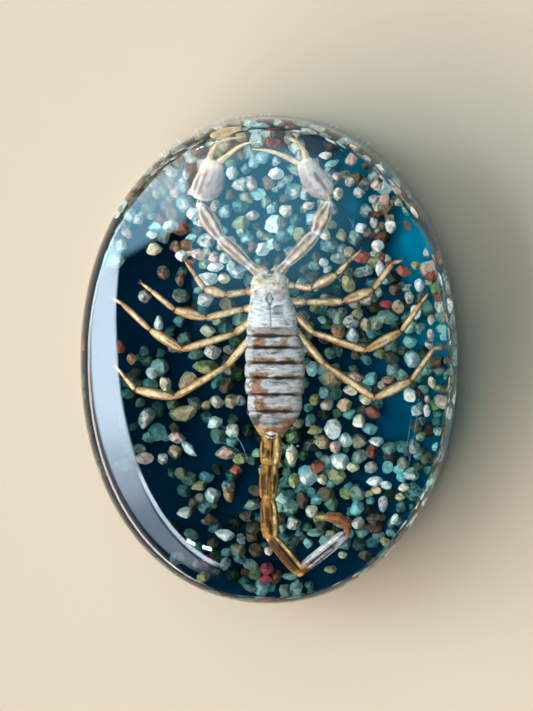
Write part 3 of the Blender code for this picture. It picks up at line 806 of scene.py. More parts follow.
ARM_CURVES = (
    ((0, 0.8), (0.5, 1.0), (1, 0.8)),
    ((0, 0.5), (0.1, 0.72), (0.45, 1.0), (0.8, 0.98), (0.95, 0.8), (1, 0.6)),
    ((0, 0.5), (0.1, 0.75), (0.4, 1.0), (0.7, 0.92), (0.93, 0.6), (1, 0.45)),
    ((0, 0.5), (0.5, 0.75), (1, 0.6)),
)
PALM_HALF_WIDTHS = {"left": 2.15, "right": 1.85}
PALM_TALL = 0.61
PALM_CURVE = (
    (0, 0.4), (0.04, 0.6), (0.12, 0.84), (0.28, 1.0), (0.52, 0.99), (0.78, 0.82), (0.93, 0.66), (1, 0.5),
)
# Across the palm, from its inner edge (-1) to its outer edge (1): where its smooth inner lobe ends, and each
# slit's place, the shares of its length where it starts and ends, and its half width
PALM_LOBES = {"left": 0.05, "right": -0.5}
PALM_SLITS = {
    "left": ((0.24, 0.1, 0.74, 0.16), (0.68, 0.12, 0.62, 0.13)),
    "right": ((0.15, 0.1, 0.66, 0.19),),
}
FINGER_WIDTHS = ((0.6, 0.36, 0.26, 0.07), (0.5, 0.32, 0.24, 0.06))
TOOTH_STEP = 0.36
PINCER_HEIGHT = 15.5
JAWS = ((-0.9, 12.8), (-1.0, 14.4)), ((1.3, 12.8), (1.4, 14.3))
JAW_HEIGHTS = (15.35, 15.3)
JAW_WIDTH = 0.9
JAW_CURVE = ((0, 0.95), (0.5, 1.05), (0.85, 0.8), (1, 0.35))
ARM_ROOTS = ((-2.15, 11.8), (2.55, 12.2))
ARM_ROOT_RADIUS = 0.42
ARM_SPURS = ((-7.3, 20.9), (6.7, 21.4))
SPUR_WIDTHS = (0.4, 0.28, 0.04)

# Tail, in mm: each segment's two ends and half width, then the bulb and the sting
TAIL = (
    ((0.5, -9.4), (0.3, -14.6), 1.45),
    ((0.2, -14.2), (0.0, -19.7), 1.3),
    ((0.0, -19.4), (0.4, -25.5), 1.25),
    ((0.2, -25.1), (4.7, -30.8), 1.02),
    ((4.1, -30.9), (11.3, -25.0), 0.92),
)
TAIL_CURVE = (
    (0, 0.5), (0.05, 0.7), (0.14, 0.88), (0.4, 1.0), (0.75, 1.0), (0.9, 0.93), (0.96, 0.82), (1, 0.55),
)
TAIL_COATS = ("gold", "honey", "honey", "bronze", "violet")
TAIL_HEIGHT = 15.45
# Dark streaks on the tail's segments: from and to as shares of the length, place across (-1 is left) and
# half width
TAIL_STREAKS = (
    ((0.55, 0.78, 0.28, 0.22), (0.3, 0.8, -0.1, 0.09), (0.3, 0.7, 0.75, 0.14)),
    ((0.3, 0.85, -0.62, 0.17), (0.3, 0.75, 0.6, 0.29), (0.05, 0.42, -0.05, 0.23), (0.4, 0.9, 0.1, 0.07)),
    ((0.2, 0.75, 0.25, 0.29), (0.55, 0.95, 0.02, 0.22), (0.15, 0.45, -0.4, 0.14), (0.2, 0.6, 0.75, 0.12)),
    ((0.05, 0.92, 0.35, 0.23), (0.25, 0.97, -0.12, 0.22), (0.1, 0.6, 0.75, 0.12)),
    ((0.2, 0.85, 0.08, 0.19), (0.0, 0.2, 0.5, 0.43), (0.3, 0.7, 0.7, 0.1)),
)
# The body's end over the first tail segment, as shares of the length: pale skin, dark edge and pale line
SOCKET = ((0.0, 0.15, "white"), (0.15, 0.21, "keel"), (0.21, 0.25, "silver"), (0.25, 0.28, "keel"))
BULB = ((11.0, -25.3), (11.5, -24.1), (10.6, -22.9), (9.5, -22.5), (8.1, -22.5))
BULB_WIDTHS = (0.45, 0.6, 0.85, 0.85, 0.4)
STING = ((8.6, -22.5), (7.2, -22.3), (5.9, -22.7))
STING_WIDTHS = (0.42, 0.22, 0.04)


def tinted(colour, name, share):
    """A colour taken towards one of the shell's."""
    return mixed(colour, SHELL[name], share)


def spot(point, height):
    return Vector((point[0], point[1], height)) * MM


def eased(stops, share):
    """The value at share on the smooth curve through (share, value) stops."""
    for i in range(len(stops) - 1):
        (low, first), (high, last) = stops[i : i + 2]
        if share <= high or i == len(stops) - 2:
            break
    before = stops[max(i - 1, 0)]
    after = stops[min(i + 2, len(stops) - 1)]
    span = high - low
    leave = (last - before[1]) / (high - before[0]) * span
    enter = (after[1] - first) / (after[0] - low) * span
    t = min(1.0, (share - low) / span)
    return (
        first * (2 * t**3 - 3 * t**2 + 1)
        + leave * (t**3 - 2 * t**2 + t)
        + last * (3 * t**2 - 2 * t**3)
        + enter * (t**3 - t**2)
    )


def wander(x, y, scale, seed=0.0):
    """Smooth noise of about -1 to 1 over the place in mm."""
    return noise.noise(Vector((x * scale, y * scale, seed)))


def reach_of(x, y, line):
    """The distance in mm from a place to a line between two ends."""
    start = Vector(line[0])
    along = Vector(line[1]) - start
    away = Vector((x, y)) - start
    share = min(1.0, max(0.0, away.dot(along) / along.length_squared))
    return (away - along * share).length


# --- body


def body_rings():
    """(y, middle x, half width, fullness) of every ring of the body in mm, head to tail."""
    front = SHIELD_SECTIONS[0][0]
    wide = [(front - y, half) for y, _, half in SHIELD_SECTIONS]
    middle = [(front - y, x) for y, x, _ in SHIELD_SECTIONS]
    rings = []
    count = round(wide[-1][0] / RING_STEP)
    for i in range(count + 1):
        back = wide[-1][0] * i / count
        full = (0.72 + 0.28 * step(0.0, 3.5, back)) * (0.5 + 0.5 * step(-0.6, 0.35, back))
        half = eased(wide, back) * (0.86 + 0.14 * step(0, 0.5, back))
        rings.append((front - back, eased(middle, back), half, full))
    before = SHIELD_SECTIONS[-1]
    for plate in BACK_PLATES:
        count = round((before[0] - plate[0]) / RING_STEP)
        for i in range(count + 1):
            share = i / count
            y = before[0] - PLATE_GAP + (plate[0] + PLATE_GAP - before[0] + PLATE_GAP) * share
            x = before[1] + (plate[1] - before[1]) * share
            full = eased(PLATE_CURVE, share)
            rings.append((y, x, plate[2] * (0.35 + 0.65 * full), full))
        before = plate
    stops = (before, *LAST_PLATE)
    wide = [(before[0] - y, half) for y, _, half in stops]
    count = round(wide[-1][0] / RING_STEP)
    for i in range(1, count + 1):
        back = wide[-1][0] * i / count
        half = eased(wide, back)
        tuck = 0.93 + 0.07 * step(0, 0.5, back)
        x = 0.95 - 0.45 * back / wide[-1][0]
        rings.append((before[0] - back, x, half * tuck, 0.95 * half / wide[0][1] * tuck))
    return rings


def body_relief(x, y):
    """How far the back stands out or in, in mm."""
    lift = 0.07 * wander(x * 0.35, y * 1.6, 2.2) + 0.05 * wander(x * 0.6, y, 4.5)
    if y > 7.3:
        lift += 0.04 * wander(x, y, 2.4, 5.0)
    for start, end, depth in GROOVES:
        lift -= depth * (1 - step(0.0, 0.26, reach_of(x, y, (start, end))))
    for start, end, height in RIDGES:
        lift += height * (1 - step(0.0, 0.45, reach_of(x, y, (start, end))))
    return lift


def body_colour(x, y, top):
    """The dried shell's colour: silvery, with brown stains and marks; the dark lines of its grooves and of
    the slits between the plates are partly painted shade.
    """
    tone = 0.5 + 0.45 * wander(x * 0.5, y * 2.2, 1.6, 3.0) + 0.35 * wander(x * 0.8, y * 1.6, 4.5, 3.5)
    colour = mixed(SHELL["grey"], SHELL["white"], min(1, max(0, 0.35 + 0.6 * tone)))
    cream = step(9.9, 11.6, y + 0.7 * wander(x, y, 1.1, 8.0))
    colour = tinted(colour, "cream", 0.9 * cream)
    dim = 0.28 * step(6.4, 4.6, y) + 0.3 * step(-6.4, -8.4, y)
    colour = mixed(colour, (0.0, 0.0, 0.0), dim)
    ragged_x = x + 0.5 * wander(x, y, 0.9, 1.0) + 0.3 * wander(x, y, 2.9, 1.5)
    ragged_y = y + 0.2 * wander(x, y, 1.3, 2.0) + 0.16 * wander(x, y, 4.0, 2.5)
    for name, left, right, front, rear, strength in STAINS:
        inside = min(ragged_x - left, right - ragged_x, front - ragged_y, ragged_y - rear)
        share = strength * step(-0.16, 0.2, inside)
        if share:
            stain = SHELL[name]
            if name == "brown":
                stain = mixed(stain, SHELL["orange"], 0.1 + 0.4 * wander(x, y, 1.8, 6.0))
            colour = mixed(colour, stain, share * (0.9 + 0.25 * wander(x, y, 5.0, 7.0)))
    for name, middle_x, middle_y, radius, strength in MARKS:
        away = math.hypot(ragged_x - middle_x, ragged_y - middle_y)
        colour = tinted(colour, name, strength * (1 - step(radius * 0.6, radius * 1.15, away)))
    # Dark lines in the grooves, partly the shell's own and partly painted shade, darker the deeper the
    # groove
    for start, end, depth in GROOVES:
        share = 1 - step(0.04, 0.2, reach_of(x, y, (start, end)))
        colour = tinted(colour, "dark", 0.8 * share * depth / 0.16)
    # The slits under each plate's rear edge: the joint skin's brown, with painted shade in the gap across
    # the middle of the plate
    for rear, middle, half in BACK_PLATES[1:]:
        thick = 0.4 + 0.34 * wander(x, rear, 0.8, 4.0)
        share = 1 - step(thick * 0.3, thick, abs(y - rear - 0.03))
        reach = 1 - step(0.6, 0.95, abs(x - middle + 0.2) / half)
        colour = tinted(colour, "brown", 0.5 * share)
        colour = tinted(colour, "dark", 0.95 * share * reach)
    if not top:
        colour = tinted(colour, "tan", 0.5)
    return colour


def scorpion_body():
    rings = body_rings()
    head = rings[0][0]
    stations = [
        (x * MM, 0, (head - y) * MM, half * MM, BODY_RISE * full * MM) for y, x, half, full in rings
    ]
    trunk = column("trunk", stations, BODY_SIDES, lambda turn: superellipse(turn, BODY_POWER))
    for vert in trunk.data.vertices:
        x = vert.co.x / MM
        y = head - vert.co.z / MM
        if vert.co.y > 0:
            vert.co.y += body_relief(x, y) * MM * step(0.0, 0.6 * MM, vert.co.y)
        else:
            vert.co.y *= BODY_DROP / BODY_RISE
    paint(trunk, lambda co: body_colour(co.x / MM, head - co.z / MM, co.y > UPPER_SIDE))
    parts = [lay(trunk, spot((0, head), SCORPION_HEIGHT), Vector((0, -1, 0)))]
    for jaw in JAWS:
        root, tip = [spot(point, height) for point, height in zip(jaw, JAW_HEIGHTS)]
        parts.append(segment("jaw", root, tip, JAW_WIDTH, JAW_CURVE, jaw_colour, ridges=5, rise=0.05))
    for place in ARM_ROOTS:
        parts.append(bead(spot(place, PINCER_HEIGHT), ARM_ROOT_RADIUS, SHELL["white"]))
    body = joined("scorpion_body", parts)
    smooth(body, 60)
    dress(body, shell("body_shell", 0.42, (0.3, 1, 1)), "scorpion_shell", "scorpion")


def jaw_colour(share, turn, place):
    tone = 0.5 + 0.5 * wander(place.x / MM, place.z / MM, 1.5)
    colour = mixed(SHELL["cream"], SHELL["orange"], 0.5 * tone)
    return tinted(colour, "russet", 0.7 * step(0.75, 1.0, share))


# --- limbs


def segment(
    name, start, end, width, stops, colour_at, tall=0.9, sides=18, count=14, ridges=0, rise=0.0, bow=0.0
):
    """One limb segment from joint to joint: its width, in mm, follows the stops, with keels along it."""
    length = (end - start).length
    stations = []
    for i in range(count + 1):
        share = i / count
        full = eased(stops, share) * width * MM
        stations.append((bow * MM * math.sin(share * math.pi), 0, length * share, full, full * tall))

    def keeled(turn):
        reach = 1 + rise * math.cos(ridges * turn)
        return math.cos(turn) * reach, math.sin(turn) * reach

    part = column(name, stations, sides, keeled)
    offset = Vector((start.x, 0, start.y))

    def coat(co):
        return colour_at(co.z / length, math.atan2(co.y / tall, co.x), co + offset)

    paint(part, coat)
    return lay(part, start, end - start)


def bead(place, radius, colour, stretch=(1, 1, 1)):
    """A small knob at a place, its radius in mm."""
    bpy.ops.object.select_all(action="DESELECT")
    bpy.ops.mesh.primitive_uv_sphere_add(segments=12, ring_count=8, radius=radius * MM, location=place)
    knob = bpy.context.object
    knob.scale = stretch
    bpy.ops.object.transform_apply(location=True, rotation=True, scale=True)
    paint(knob, lambda co: colour)
    return knob


def plain(name):
    """One of the shell's colours all over a bent limb."""
    return lambda share, place: SHELL[name]


def bent(name, points, widths, colour_at, teeth=None):
    """A bent, tapering limb: a path with a round bevel made a mesh. It can be toothed on one side."""
    bpy.ops.object.select_all(action="DESELECT")
    bpy.ops.curve.primitive_bezier_curve_add()
    path = bpy.context.object
    path.data.splines.clear()
    path.data.dimensions = "3D"
    path.data.bevel_depth = MM
    path.data.bevel_resolution = 4
    path.data.resolution_u = 14
    path.data.use_fill_caps = True
    spline = path.data.splines.new("BEZIER")
    spline.bezier_points.add(len(points) - 1)
    spline.radius_interpolation = "CARDINAL"
    for stop, point, width in zip(spline.bezier_points, points, widths):
        stop.co = point
        stop.radius = width
        stop.handle_left_type = stop.handle_right_type = "AUTO"
    pick(path)
    bpy.ops.object.convert(target="MESH")
    limb = named(bpy.context.object, name)
    bpy.ops.object.mode_set(mode="EDIT")
    bpy.ops.mesh.select_all(action="SELECT")
    bpy.ops.mesh.remove_doubles(threshold=0.002 * MM)
    bpy.ops.mesh.normals_make_consistent(inside=False)
    bpy.ops.object.mode_set(mode="OBJECT")
    root = points[0]
    span = (points[-1] - root).length
    if teeth:
        inward = teeth.normalized()
        normals = [vert.normal.copy() for vert in limb.data.vertices]
        for vert, normal in zip(limb.data.vertices, normals):
            facing = step(0.5, 0.95, normal.dot(inward))
            wave = math.cos(math.tau * (vert.co - root).length / (TOOTH_STEP * MM))
            vert.co += normal * facing * (0.05 + 0.07 * wave) * MM
    paint(limb, lambda co: colour_at((co - root).length / span, co))
    return limb


def leg_colour(share, turn, place):
    """Golden shell: amber along the sides and at the joints, pale and thin in the middle of a segment."""
    tone = 0.5 + 0.5 * wander(place.x / MM, place.z / MM, 0.7)
    side = abs(math.cos(turn))
    middle = step(0.12, 0.35, share) * (1 - step(0.6, 0.9, share))
    pale = (0.35 + 0.65 * middle) * (1 - step(0.35, 0.8, side)) * (0.5 + 0.5 * tone)
    colour = mixed(SHELL["tan"], SHELL["straw"], pale)
    crease = noise.noise(Vector((turn * 1.6, share * 2.5, place.x * 200)))
    colour = tinted(colour, "amber", 0.75 * step(0.05, 0.4, crease))
    colour = tinted(colour, "straw", 0.6 * step(0.1, 0.45, -crease) * (1 - side))
    colour = tinted(colour, "amber", 0.85 * step(0.7, 0.93, side))
    colour = tinted(colour, "amber", 0.6 * step(0.0, 0.5, -math.sin(turn)))
    ends = max(1 - step(0.02, 0.12, share), step(0.9, 0.985, share))
    return tinted(colour, "russet", 0.75 * ends)


def leg_knobs(number, start, end):
    """The knobs of one joint: two dark ones at its sides and a pale one in its middle."""
    side = UP.cross((end - start).normalized()) * LEG_WIDTHS[number] * 0.3 * MM
    knobs = [bead(start + away + UP * 0.12 * MM, SIDE_KNOB, SHELL["keel"]) for away in (side, -side)]
    return [*knobs, bead(start, KNOB_SIZES[number], SHELL["tan"])]


def foot_hooks(ankle, heel, tip):
    """The two claws at a leg's tip and the three spines above its heel."""
    ahead = (tip - heel).normalized()
    side = UP.cross(ahead)
    hooks = []
    for way in (-1, 1):
        points = (
            tip - ahead * 0.15 * MM,
            tip + (ahead * 0.2 + side * way * 0.2) * MM,
            tip + (ahead * 0.45 + side * way * 0.28 - UP * 0.12) * MM,
        )
        hooks.append(bent("claw", points, CLAW_WIDTHS, plain("russet")))
    for share in SPINES:
        root = ankle.lerp(heel, share) + side * 0.3 * MM
        points = (root - side * 0.1 * MM, root + (side * 0.15 + ahead * 0.25) * MM)
        hooks.append(bent("spine", points, SPINE_WIDTHS, plain("amber")))
    return hooks


def scorpion_legs():
    parts = []
    for joints in LEGS.values():
        spots = [spot(joint, height) for joint, height in zip(joints, LEG_HEIGHTS)]
        for number, (start, end) in enumerate(zip(spots, spots[1:])):
            shaft = segment(
                "leg", start, end, LEG_WIDTHS[number], LEG_CURVES[number], leg_colour,
                tall=LEG_ROUNDNESS[number], sides=16, count=12, ridges=4, rise=0.09,
            )
            parts.append(shaft)
            if 0 < number < 4:
                parts += leg_knobs(number, start, end)
        parts += foot_hooks(*spots[3:])
    legs = joined("scorpion_legs", parts)
    smooth(legs, 60)
    dress(legs, shell("leg_shell", 0.35, (1, 1, 1), 0.05, 0.55), "scorpion_shell", "scorpion")


def arm_colour(share, turn, place):
    """Pale keels and shadowed furrows that wander along the arm, whiter at its joints."""
    turn += 0.4
    seed = place.x * 300
    wave = 0.5 + 0.35 * math.cos(6 * turn + 1.5 * noise.noise(Vector((share * 4.0, turn, seed))))
    wave += 0.6 * noise.noise(Vector((turn * 2.0, share * 6.0, seed)))
    colour = mixed(SHELL["shadow"], SHELL["ridge"], step(0.05, 0.95, wave))
    ends = max(1 - step(0.04, 0.14, share), step(0.88, 0.97, share))
    return tinted(colour, "white", 0.55 * ends)


def palm(side, spots):
    """The hand: creased and slit on its outer half, a smooth lobe on its inner half, pale at its ends."""
    wrist, middle, root = [spot(point, PINCER_HEIGHT) for point in spots]
    outward = 1 if side == "left" else -1
    across = UP.cross(root - wrist).normalized()
    bow = (middle - wrist.lerp(root, 0.5)).dot(across) / MM

    def coat(share, turn, place):
        edge = math.cos(turn) * outward
        crease = noise.noise(Vector((share * 5, edge * 9, outward)))
        colour = mixed(SHELL["skin"], SHELL["mauve"], (0.35 if side == "left" else 0.1) + 0.5 * crease)
        lobe = mixed(SHELL["mauve"], SHELL["skin"], 0.35 + 0.3 * crease)
        colour = mixed(colour, lobe, 1 - step(-0.08, 0.08, edge - PALM_LOBES[side]))
        for centre, start, end, half in PALM_SLITS[side]:
            within = min(share - start, end - share) * 5
            near = 1 - abs(edge - centre + 0.04 * crease) / half
            colour = tinted(colour, "shadow", 0.9 * step(-0.2, 0.5, min(within, near)))
        pale = max(step(0.62, 0.85, share + 0.1 * edge), 1 - step(0.02, 0.1, share))
        colour = tinted(colour, "cream", 0.8 * pale)
        return tinted(colour, "white", 0.4 * step(0.88, 0.97, share))

    return segment(
        f"{side}_palm", wrist, root, PALM_HALF_WIDTHS[side], PALM_CURVE, coat,
        tall=PALM_TALL, sides=96, count=44, ridges=12, rise=0.014, bow=bow,
    )


def finger_colour(share, place):
    tone = 0.5 + 0.5 * wander(place.x / MM, place.y / MM, 1.2)
    colour = mixed(SHELL["cream"], SHELL["tan"], 0.4 + 0.5 * tone)
    return tinted(colour, "orange", 0.5 * step(0.75, 1.0, share))


def scorpion_pincers():
    parts = []
    for side, spots in PINCERS.items():
        joints = [spot(joint, PINCER_HEIGHT) for joint in spots["arm"]]
        for number, (start, end) in enumerate(zip(joints, joints[1:])):
            width = ARM_WIDTHS[number]
            arm = segment(
                "arm", start, end, width, ARM_CURVES[number], arm_colour,
                tall=0.85, sides=30, count=18, ridges=6, rise=0.11,
            )
            parts += [arm, bead(end, width * 0.5, SHELL["white"], (1, 1, 0.8))]
        parts.append(palm(side, spots["palm"]))
        fingers = [[spot(point, PINCER_HEIGHT) for point in finger] for finger in spots["fingers"]]
        turned = UP.cross(fingers[1][-1] - fingers[0][0])
        for points, edge, widths in zip(fingers, (1, -1), FINGER_WIDTHS):
            facing = turned * edge if turned.dot(points[-1] - points[0]) * edge < 0 else -turned * edge
            parts.append(bent("finger", points, widths, finger_colour, facing))
    for spur in ARM_SPURS:
        away = Vector((0.45 if spur[0] < 0 else -0.45, 0.2, 0)) * MM
        root = spot(spur, PINCER_HEIGHT)
        parts.append(bent("spur", (root - away, root, root + away), SPUR_WIDTHS, plain("cream")))
    pincers = joined("scorpion_pincers", parts)
    smooth(pincers, 60)
    dress(pincers, shell("pincer_shell", 0.4, (1, 1, 1), 0.0, 0.4), "scorpion_shell", "scorpion")


# --- tail


def tail_coat(number):
    """The colour of one tail segment: amber with dark streaks between its keels, orange ends, and a painted
    highlight down its left side.
    """
    base = SHELL[TAIL_COATS[number]]
    last = number == len(TAIL) - 1

    def coat(share, turn, place):
        across = -math.cos(turn)
        top = step(0, 0.3, math.sin(turn))
        tone = noise.noise(Vector((across * 2.6, share * 3.5, number * 3.0)))
        fine = noise.noise(Vector((across * 9, share * 5, number * 5.0)))
        colour = mixed(base, SHELL["white" if last else "olive"], min(1, max(0, 0.35 + 0.9 * tone)))
        # Painted highlight: a bright band down the left side of each segment, gold, and white on the last
        # one.
        painted_highlight = step(-0.95, -0.75, across) * (1 - step(-0.55, -0.3, across)) * (0.8 + 1.2 * fine)
        colour = tinted(colour, "white" if last else "painted_highlight", max(0, 0.8 * painted_highlight))
        for start, end, middle, half in TAIL_STREAKS[number]:
            along = min(share - start, end - share) * 6
            near = (half - abs(across - middle + 0.1 * tone + 0.05 * fine)) / half
            colour = tinted(colour, "keel", 0.95 * step(-0.3, 0.4, min(along, near)) * top)
        ends = max(1 - step(0.02, 0.12, share), step(0.88, 0.97, share))
        if last:
            return tinted(colour, "brown", 0.85 * (1 - step(0.12, 0.34, share + 0.1 * tone)))
        colour = tinted(colour, "orange", 0.6 * ends)
        if number == 0:
            for start, end, name in SOCKET:
                band = step(start - 0.02, start + 0.01, share + 0.12 * across**2) * top
                band *= 1 - step(end - 0.01, end + 0.02, share + 0.12 * across**2)
                colour = tinted(colour, name, 0.9 * band * (1 - step(0.45, 0.75, abs(across - 0.05))))
        return colour

    return coat


def bulb_colour(share, place):
    tone = 0.5 + 0.5 * wander(place.x / MM, place.y / MM, 1.6, 2.0)
    colour = mixed(SHELL["russet"], SHELL["orange"], 0.6 * tone)
    top = step(0.15, 0.6, place.z / MM - TAIL_HEIGHT)
    return tinted(colour, "keel", 0.55 * top * step(0.4, 0.6, tone))


def sting_colour(share, place):
    return mixed(SHELL["orange"], SHELL["keel"], step(0.5, 1, share))


def scorpion_tail():
    parts = []
    for number, (start, end, half) in enumerate(TAIL):
        front = spot(start, TAIL_HEIGHT)
        back = spot(end, TAIL_HEIGHT)
        link = segment(
            "tail", front, back, half, TAIL_CURVE, tail_coat(number),
            tall=0.92, sides=96, count=36, ridges=8, rise=0.045,
        )
        joint = SHELL["white"] if number == 0 else SHELL["orange"]
        parts += [link, bead(back, half * 0.62, joint, (1, 1, 0.85))]
    for name, line, widths, colour_at in (
        ("bulb", BULB, BULB_WIDTHS, bulb_colour),
        ("sting", STING, STING_WIDTHS, sting_colour),
    ):
        parts.append(bent(name, [spot(point, TAIL_HEIGHT) for point in line], widths, colour_at))
    tail = joined("scorpion_tail", parts)
    smooth(tail, 60)
    dress(tail, shell("tail_shell", 0.25, (1, 1, 1), 0.05, 0.7), "scorpion_shell", "scorpion")


# ---------------------------------------------------------------- felt and small things in the resin

# Lint past the block's foot: each tuft's middle and half width as angles in degrees, its number of hairs and
# its reach in mm
TUFTS = (
    (-136, 1.6, 60, 1.1),
    (-125, 2.2, 80, 1.2),
    (-114, 5.0, 220, 1.0),
    (-105, 6.0, 320, 1.3),
    (-96, 6.0, 300, 1.4),
    (-86, 4.0, 160, 1.0),
    (-69, 1.8, 70, 1.2),
    (180, 180.0, 420, 0.35),
)
LINT_SIDES = 3
LINT_STEPS = 5
LINT_HEIGHTS = (0.15, 0.85)
LINT_RADIUS = (0.012, 0.028)


def felt_pad():
    """Thin felt with a soft, slightly uneven edge."""
    chance = random.Random(5)
    insets = ((0.0, 0.6), (0.25 * MM, 0.3), (0.75 * MM, 0.3), (FOOT_LEVEL, 0.5))
    stations = [
        (0, 0, height, FOOT_HALF.x - inset * MM, FOOT_HALF.y - inset * MM) for height, inset in insets
    ]
    pad = column("felt_sheet", stations, OVAL_SIDES * 2, oval_point)
    for vert in pad.data.vertices:
        if 0 < vert.co.z < FOOT_LEVEL:
            vert.co += Vector((vert.co.x, vert.co.y, 0)).normalized() * chance.uniform(-0.12, 0.12) * MM
    smooth(pad, 60)
    dress(pad, felt(), "white_felt", "felt_pad")


def lint():
    """Loose hairs of the felt that show past the foot, thickest along the lower left edge."""
    chance = random.Random(8)
    reach_x = FOOT_HALF.x - 0.7 * MM
    reach_y = FOOT_HALF.y - 0.7 * MM
    points = []
    faces = []
    for middle, spread, count, reach in TUFTS:
        for _ in range(count):
            turn = math.radians(middle + chance.uniform(-spread, spread))
            out = Vector((math.cos(turn) * FOOT_HALF.x, math.sin(turn) * FOOT_HALF.y, 0)).normalized()
            across, along = oval_point(turn)
            root = Vector((across * reach_x, along * reach_y, chance.uniform(*LINT_HEIGHTS) * MM))
            stray = Vector((chance.uniform(-0.9, 0.9), chance.uniform(-0.9, 0.9), 0))
            ahead = (out + stray).normalized()
            length = (0.6 + reach * chance.uniform(0.3, 1.0)) * MM
            curl = Vector((chance.uniform(-1, 1), chance.uniform(-1, 1), chance.uniform(-0.2, 0.35)))
            curl *= length * 0.5
            radius = chance.uniform(*LINT_RADIUS) * MM
            side = UP.cross(ahead).normalized()
            faces += tube_faces(len(points), LINT_SIDES, LINT_STEPS)
            for i in range(LINT_STEPS):
                share = i / (LINT_STEPS - 1)
                core = root + ahead * length * share + curl * share * share
                core.z = max(core.z, 0.06 * MM)
                for k in range(LINT_SIDES):
                    angle = math.tau * k / LINT_SIDES
                    points.append(core + (side * math.cos(angle) + UP * math.sin(angle)) * radius)
    hairs = meshed("felt_lint", points, faces)
    smooth(hairs)
    made = material("lint", {"Base Color": (0.7, 0.7, 0.7, 1), "Roughness": 0.8})
    dress(hairs, made, "white_felt", "felt_pad")


def tube_faces(first, sides, steps):
    """The faces of a closed tube whose points run ring by ring from the first."""
    faces = [tuple(first + k for k in reversed(range(sides)))]
    for i in range(steps - 1):
        for k in range(sides):
            a = first + i * sides + k
            b = first + i * sides + (k + 1) % sides
            faces.append((a, b, b + sides, a + sides))
    faces.append(tuple(first + (steps - 1) * sides + k for k in range(sides)))
    return faces


# Groups of bubbles, in mm: x, y and z, over the stones beside the tail and under the right hind leg
BUBBLE_PLACES = (
    (3.9, -9.9, 9.2), (4.7, -9.0, 9.0), (6.5, -11.0, 9.1), (3.2, -12.3, 9.0), (13.9, -3.6, 9.0),
)
BUBBLES_EACH = 6
BUBBLE_RADIUS = (0.07, 0.2)
# Thin fibres and scratches in the clear resin, in mm: the two ends and how far it bows
FIBRES = (
    ((11.4, 21.6, 17.0), (12.7, 18.8, 16.2), 0.2),
    ((12.3, 21.4, 16.5), (11.7, 19.2, 16.0), 0.15),
    ((-8.6, -8.0, 11.5), (-2.8, -14.6, 11.0), 1.2),
    ((-8.0, -11.3, 12.0), (-4.0, -13.0, 11.5), 0.5),
    ((21.8, -4.2, 14.0), (20.1, -15.7, 13.0), 0.15),
    ((20.6, -7.5, 14.0), (19.6, -13.7, 13.2), 0.1),
)
FIBRE_WIDTHS = (0.02, 0.035, 0.015)


def bubbles():
    """Tiny air bubbles left in the clear resin."""
    chance = random.Random(14)
    parts = []
    for place in BUBBLE_PLACES:
        for _ in range(BUBBLES_EACH):
            away = Vector((chance.uniform(-1, 1), chance.uniform(-1, 1), chance.uniform(0, 0.6)))
            parts.append(bead((Vector(place) + away) * MM, chance.uniform(*BUBBLE_RADIUS), (1, 1, 1)))
    beads = joined("air_bubbles", parts)
    smooth(beads)
    dress(beads, see_through("air_bubble", 0.67), "clear_resin")


def fibres():
    """Fine pale hairs cast in the clear resin."""
    parts = []
    for start, end, bow in FIBRES:
        middle = (Vector(start) + Vector(end)) / 2 + Vector((bow, bow * 0.4, 0))
        points = [Vector(start) * MM, middle * MM, Vector(end) * MM]
        parts.append(bent("hair", points, FIBRE_WIDTHS, lambda share, place: (1, 1, 1)))
    hairs = joined("resin_hairs", parts)
    smooth(hairs)
    pale = material("resin_hair", {"Base Color": (0.12, 0.38, 0.55, 1), "Roughness": 0.6})
    dress(hairs, pale, "clear_resin")


# ---------------------------------------------------------------- stage


# The room's light, by the way it comes from: each lit field's strength, its colour and its edges. An edge is
# a value of x, y, z, the turn from the left side, the slope between x and y or the lift between z and x: the
# one where the light starts and the one where it's full.
DAYLIGHT = (0.77, 0.96, 1.13)
ROOM = {
    "window": (
        19.0, DAYLIGHT, ("lift", 0.80, 0.822), ("z", 0.812, 0.804), ("y", -0.46, -0.16),
        ("turn", 0.42, 0.15), ("x", -0.1, -0.25),
    ),
    "low_window": (
        4.5, DAYLIGHT, ("lift", 0.80, 0.822), ("z", 0.80, 0.794), ("y", -0.28, -0.38),
        ("y", -0.6, -0.54), ("x", -0.15, -0.26),
    ),
    "window_bar": (
        15.0, DAYLIGHT, ("z", 0.799, 0.803), ("z", 0.81, 0.807), ("y", -0.31, -0.35),
        ("y", -0.57, -0.55), ("x", -0.1, -0.2),
    ),
    "left_lamp": (
        45.0, DAYLIGHT, ("lift", 0.845, 0.847), ("lift", 0.852, 0.85), ("x", -0.31, -0.3),
        ("x", -0.27, -0.28),
    ),
    "right_lamp": (
        45.0, DAYLIGHT, ("lift", 0.846, 0.848), ("lift", 0.853, 0.851), ("x", -0.25, -0.245),
        ("x", -0.21, -0.215),
    ),
    "sill": (
        14.5, (1.0, 0.96, 0.90), ("x", -0.3, -0.55), ("y", 0.5, 0.15), ("z", 0.75, 0.6), ("z", 0.06, 0.22),
    ),
    "corner": (
        8.5, (0.34, 0.74, 1.0), ("slope", 0.41, 0.44), ("x", -0.3, -0.33), ("y", 0.46, 0.36),
    ),
    "sky": (
        5.2, (0.2, 0.7, 1.0), ("x", -0.32, -0.3), ("x", 0.45, 0.0), ("z", 0.885, 0.9), ("y", -0.05, 0.3),
    ),
    "far_wall": (
        3.8, (0.95, 0.97, 0.92), ("z", 0.905, 0.89), ("z", 0.42, 0.6), ("y", 0.24, 0.36), ("x", 0.32, -0.25),
    ),
    "near_wall": (0.3, (1.0, 0.95, 0.9), ("z", 0.6, 0.3)),
}
SLOPE_LEAN = 0.47  # the share of x that the slope takes from y
LIFT_LEAN = 0.125  # and the lift from z

# The photograph's camera, in mm: where it stands and what it looks at, and its lens
CAMERA_PLACE = (6.0, 26.0, 314.0)
CAMERA_AIM = (-0.33, 1.04, 14.0)
CAMERA_LENS = 101.6


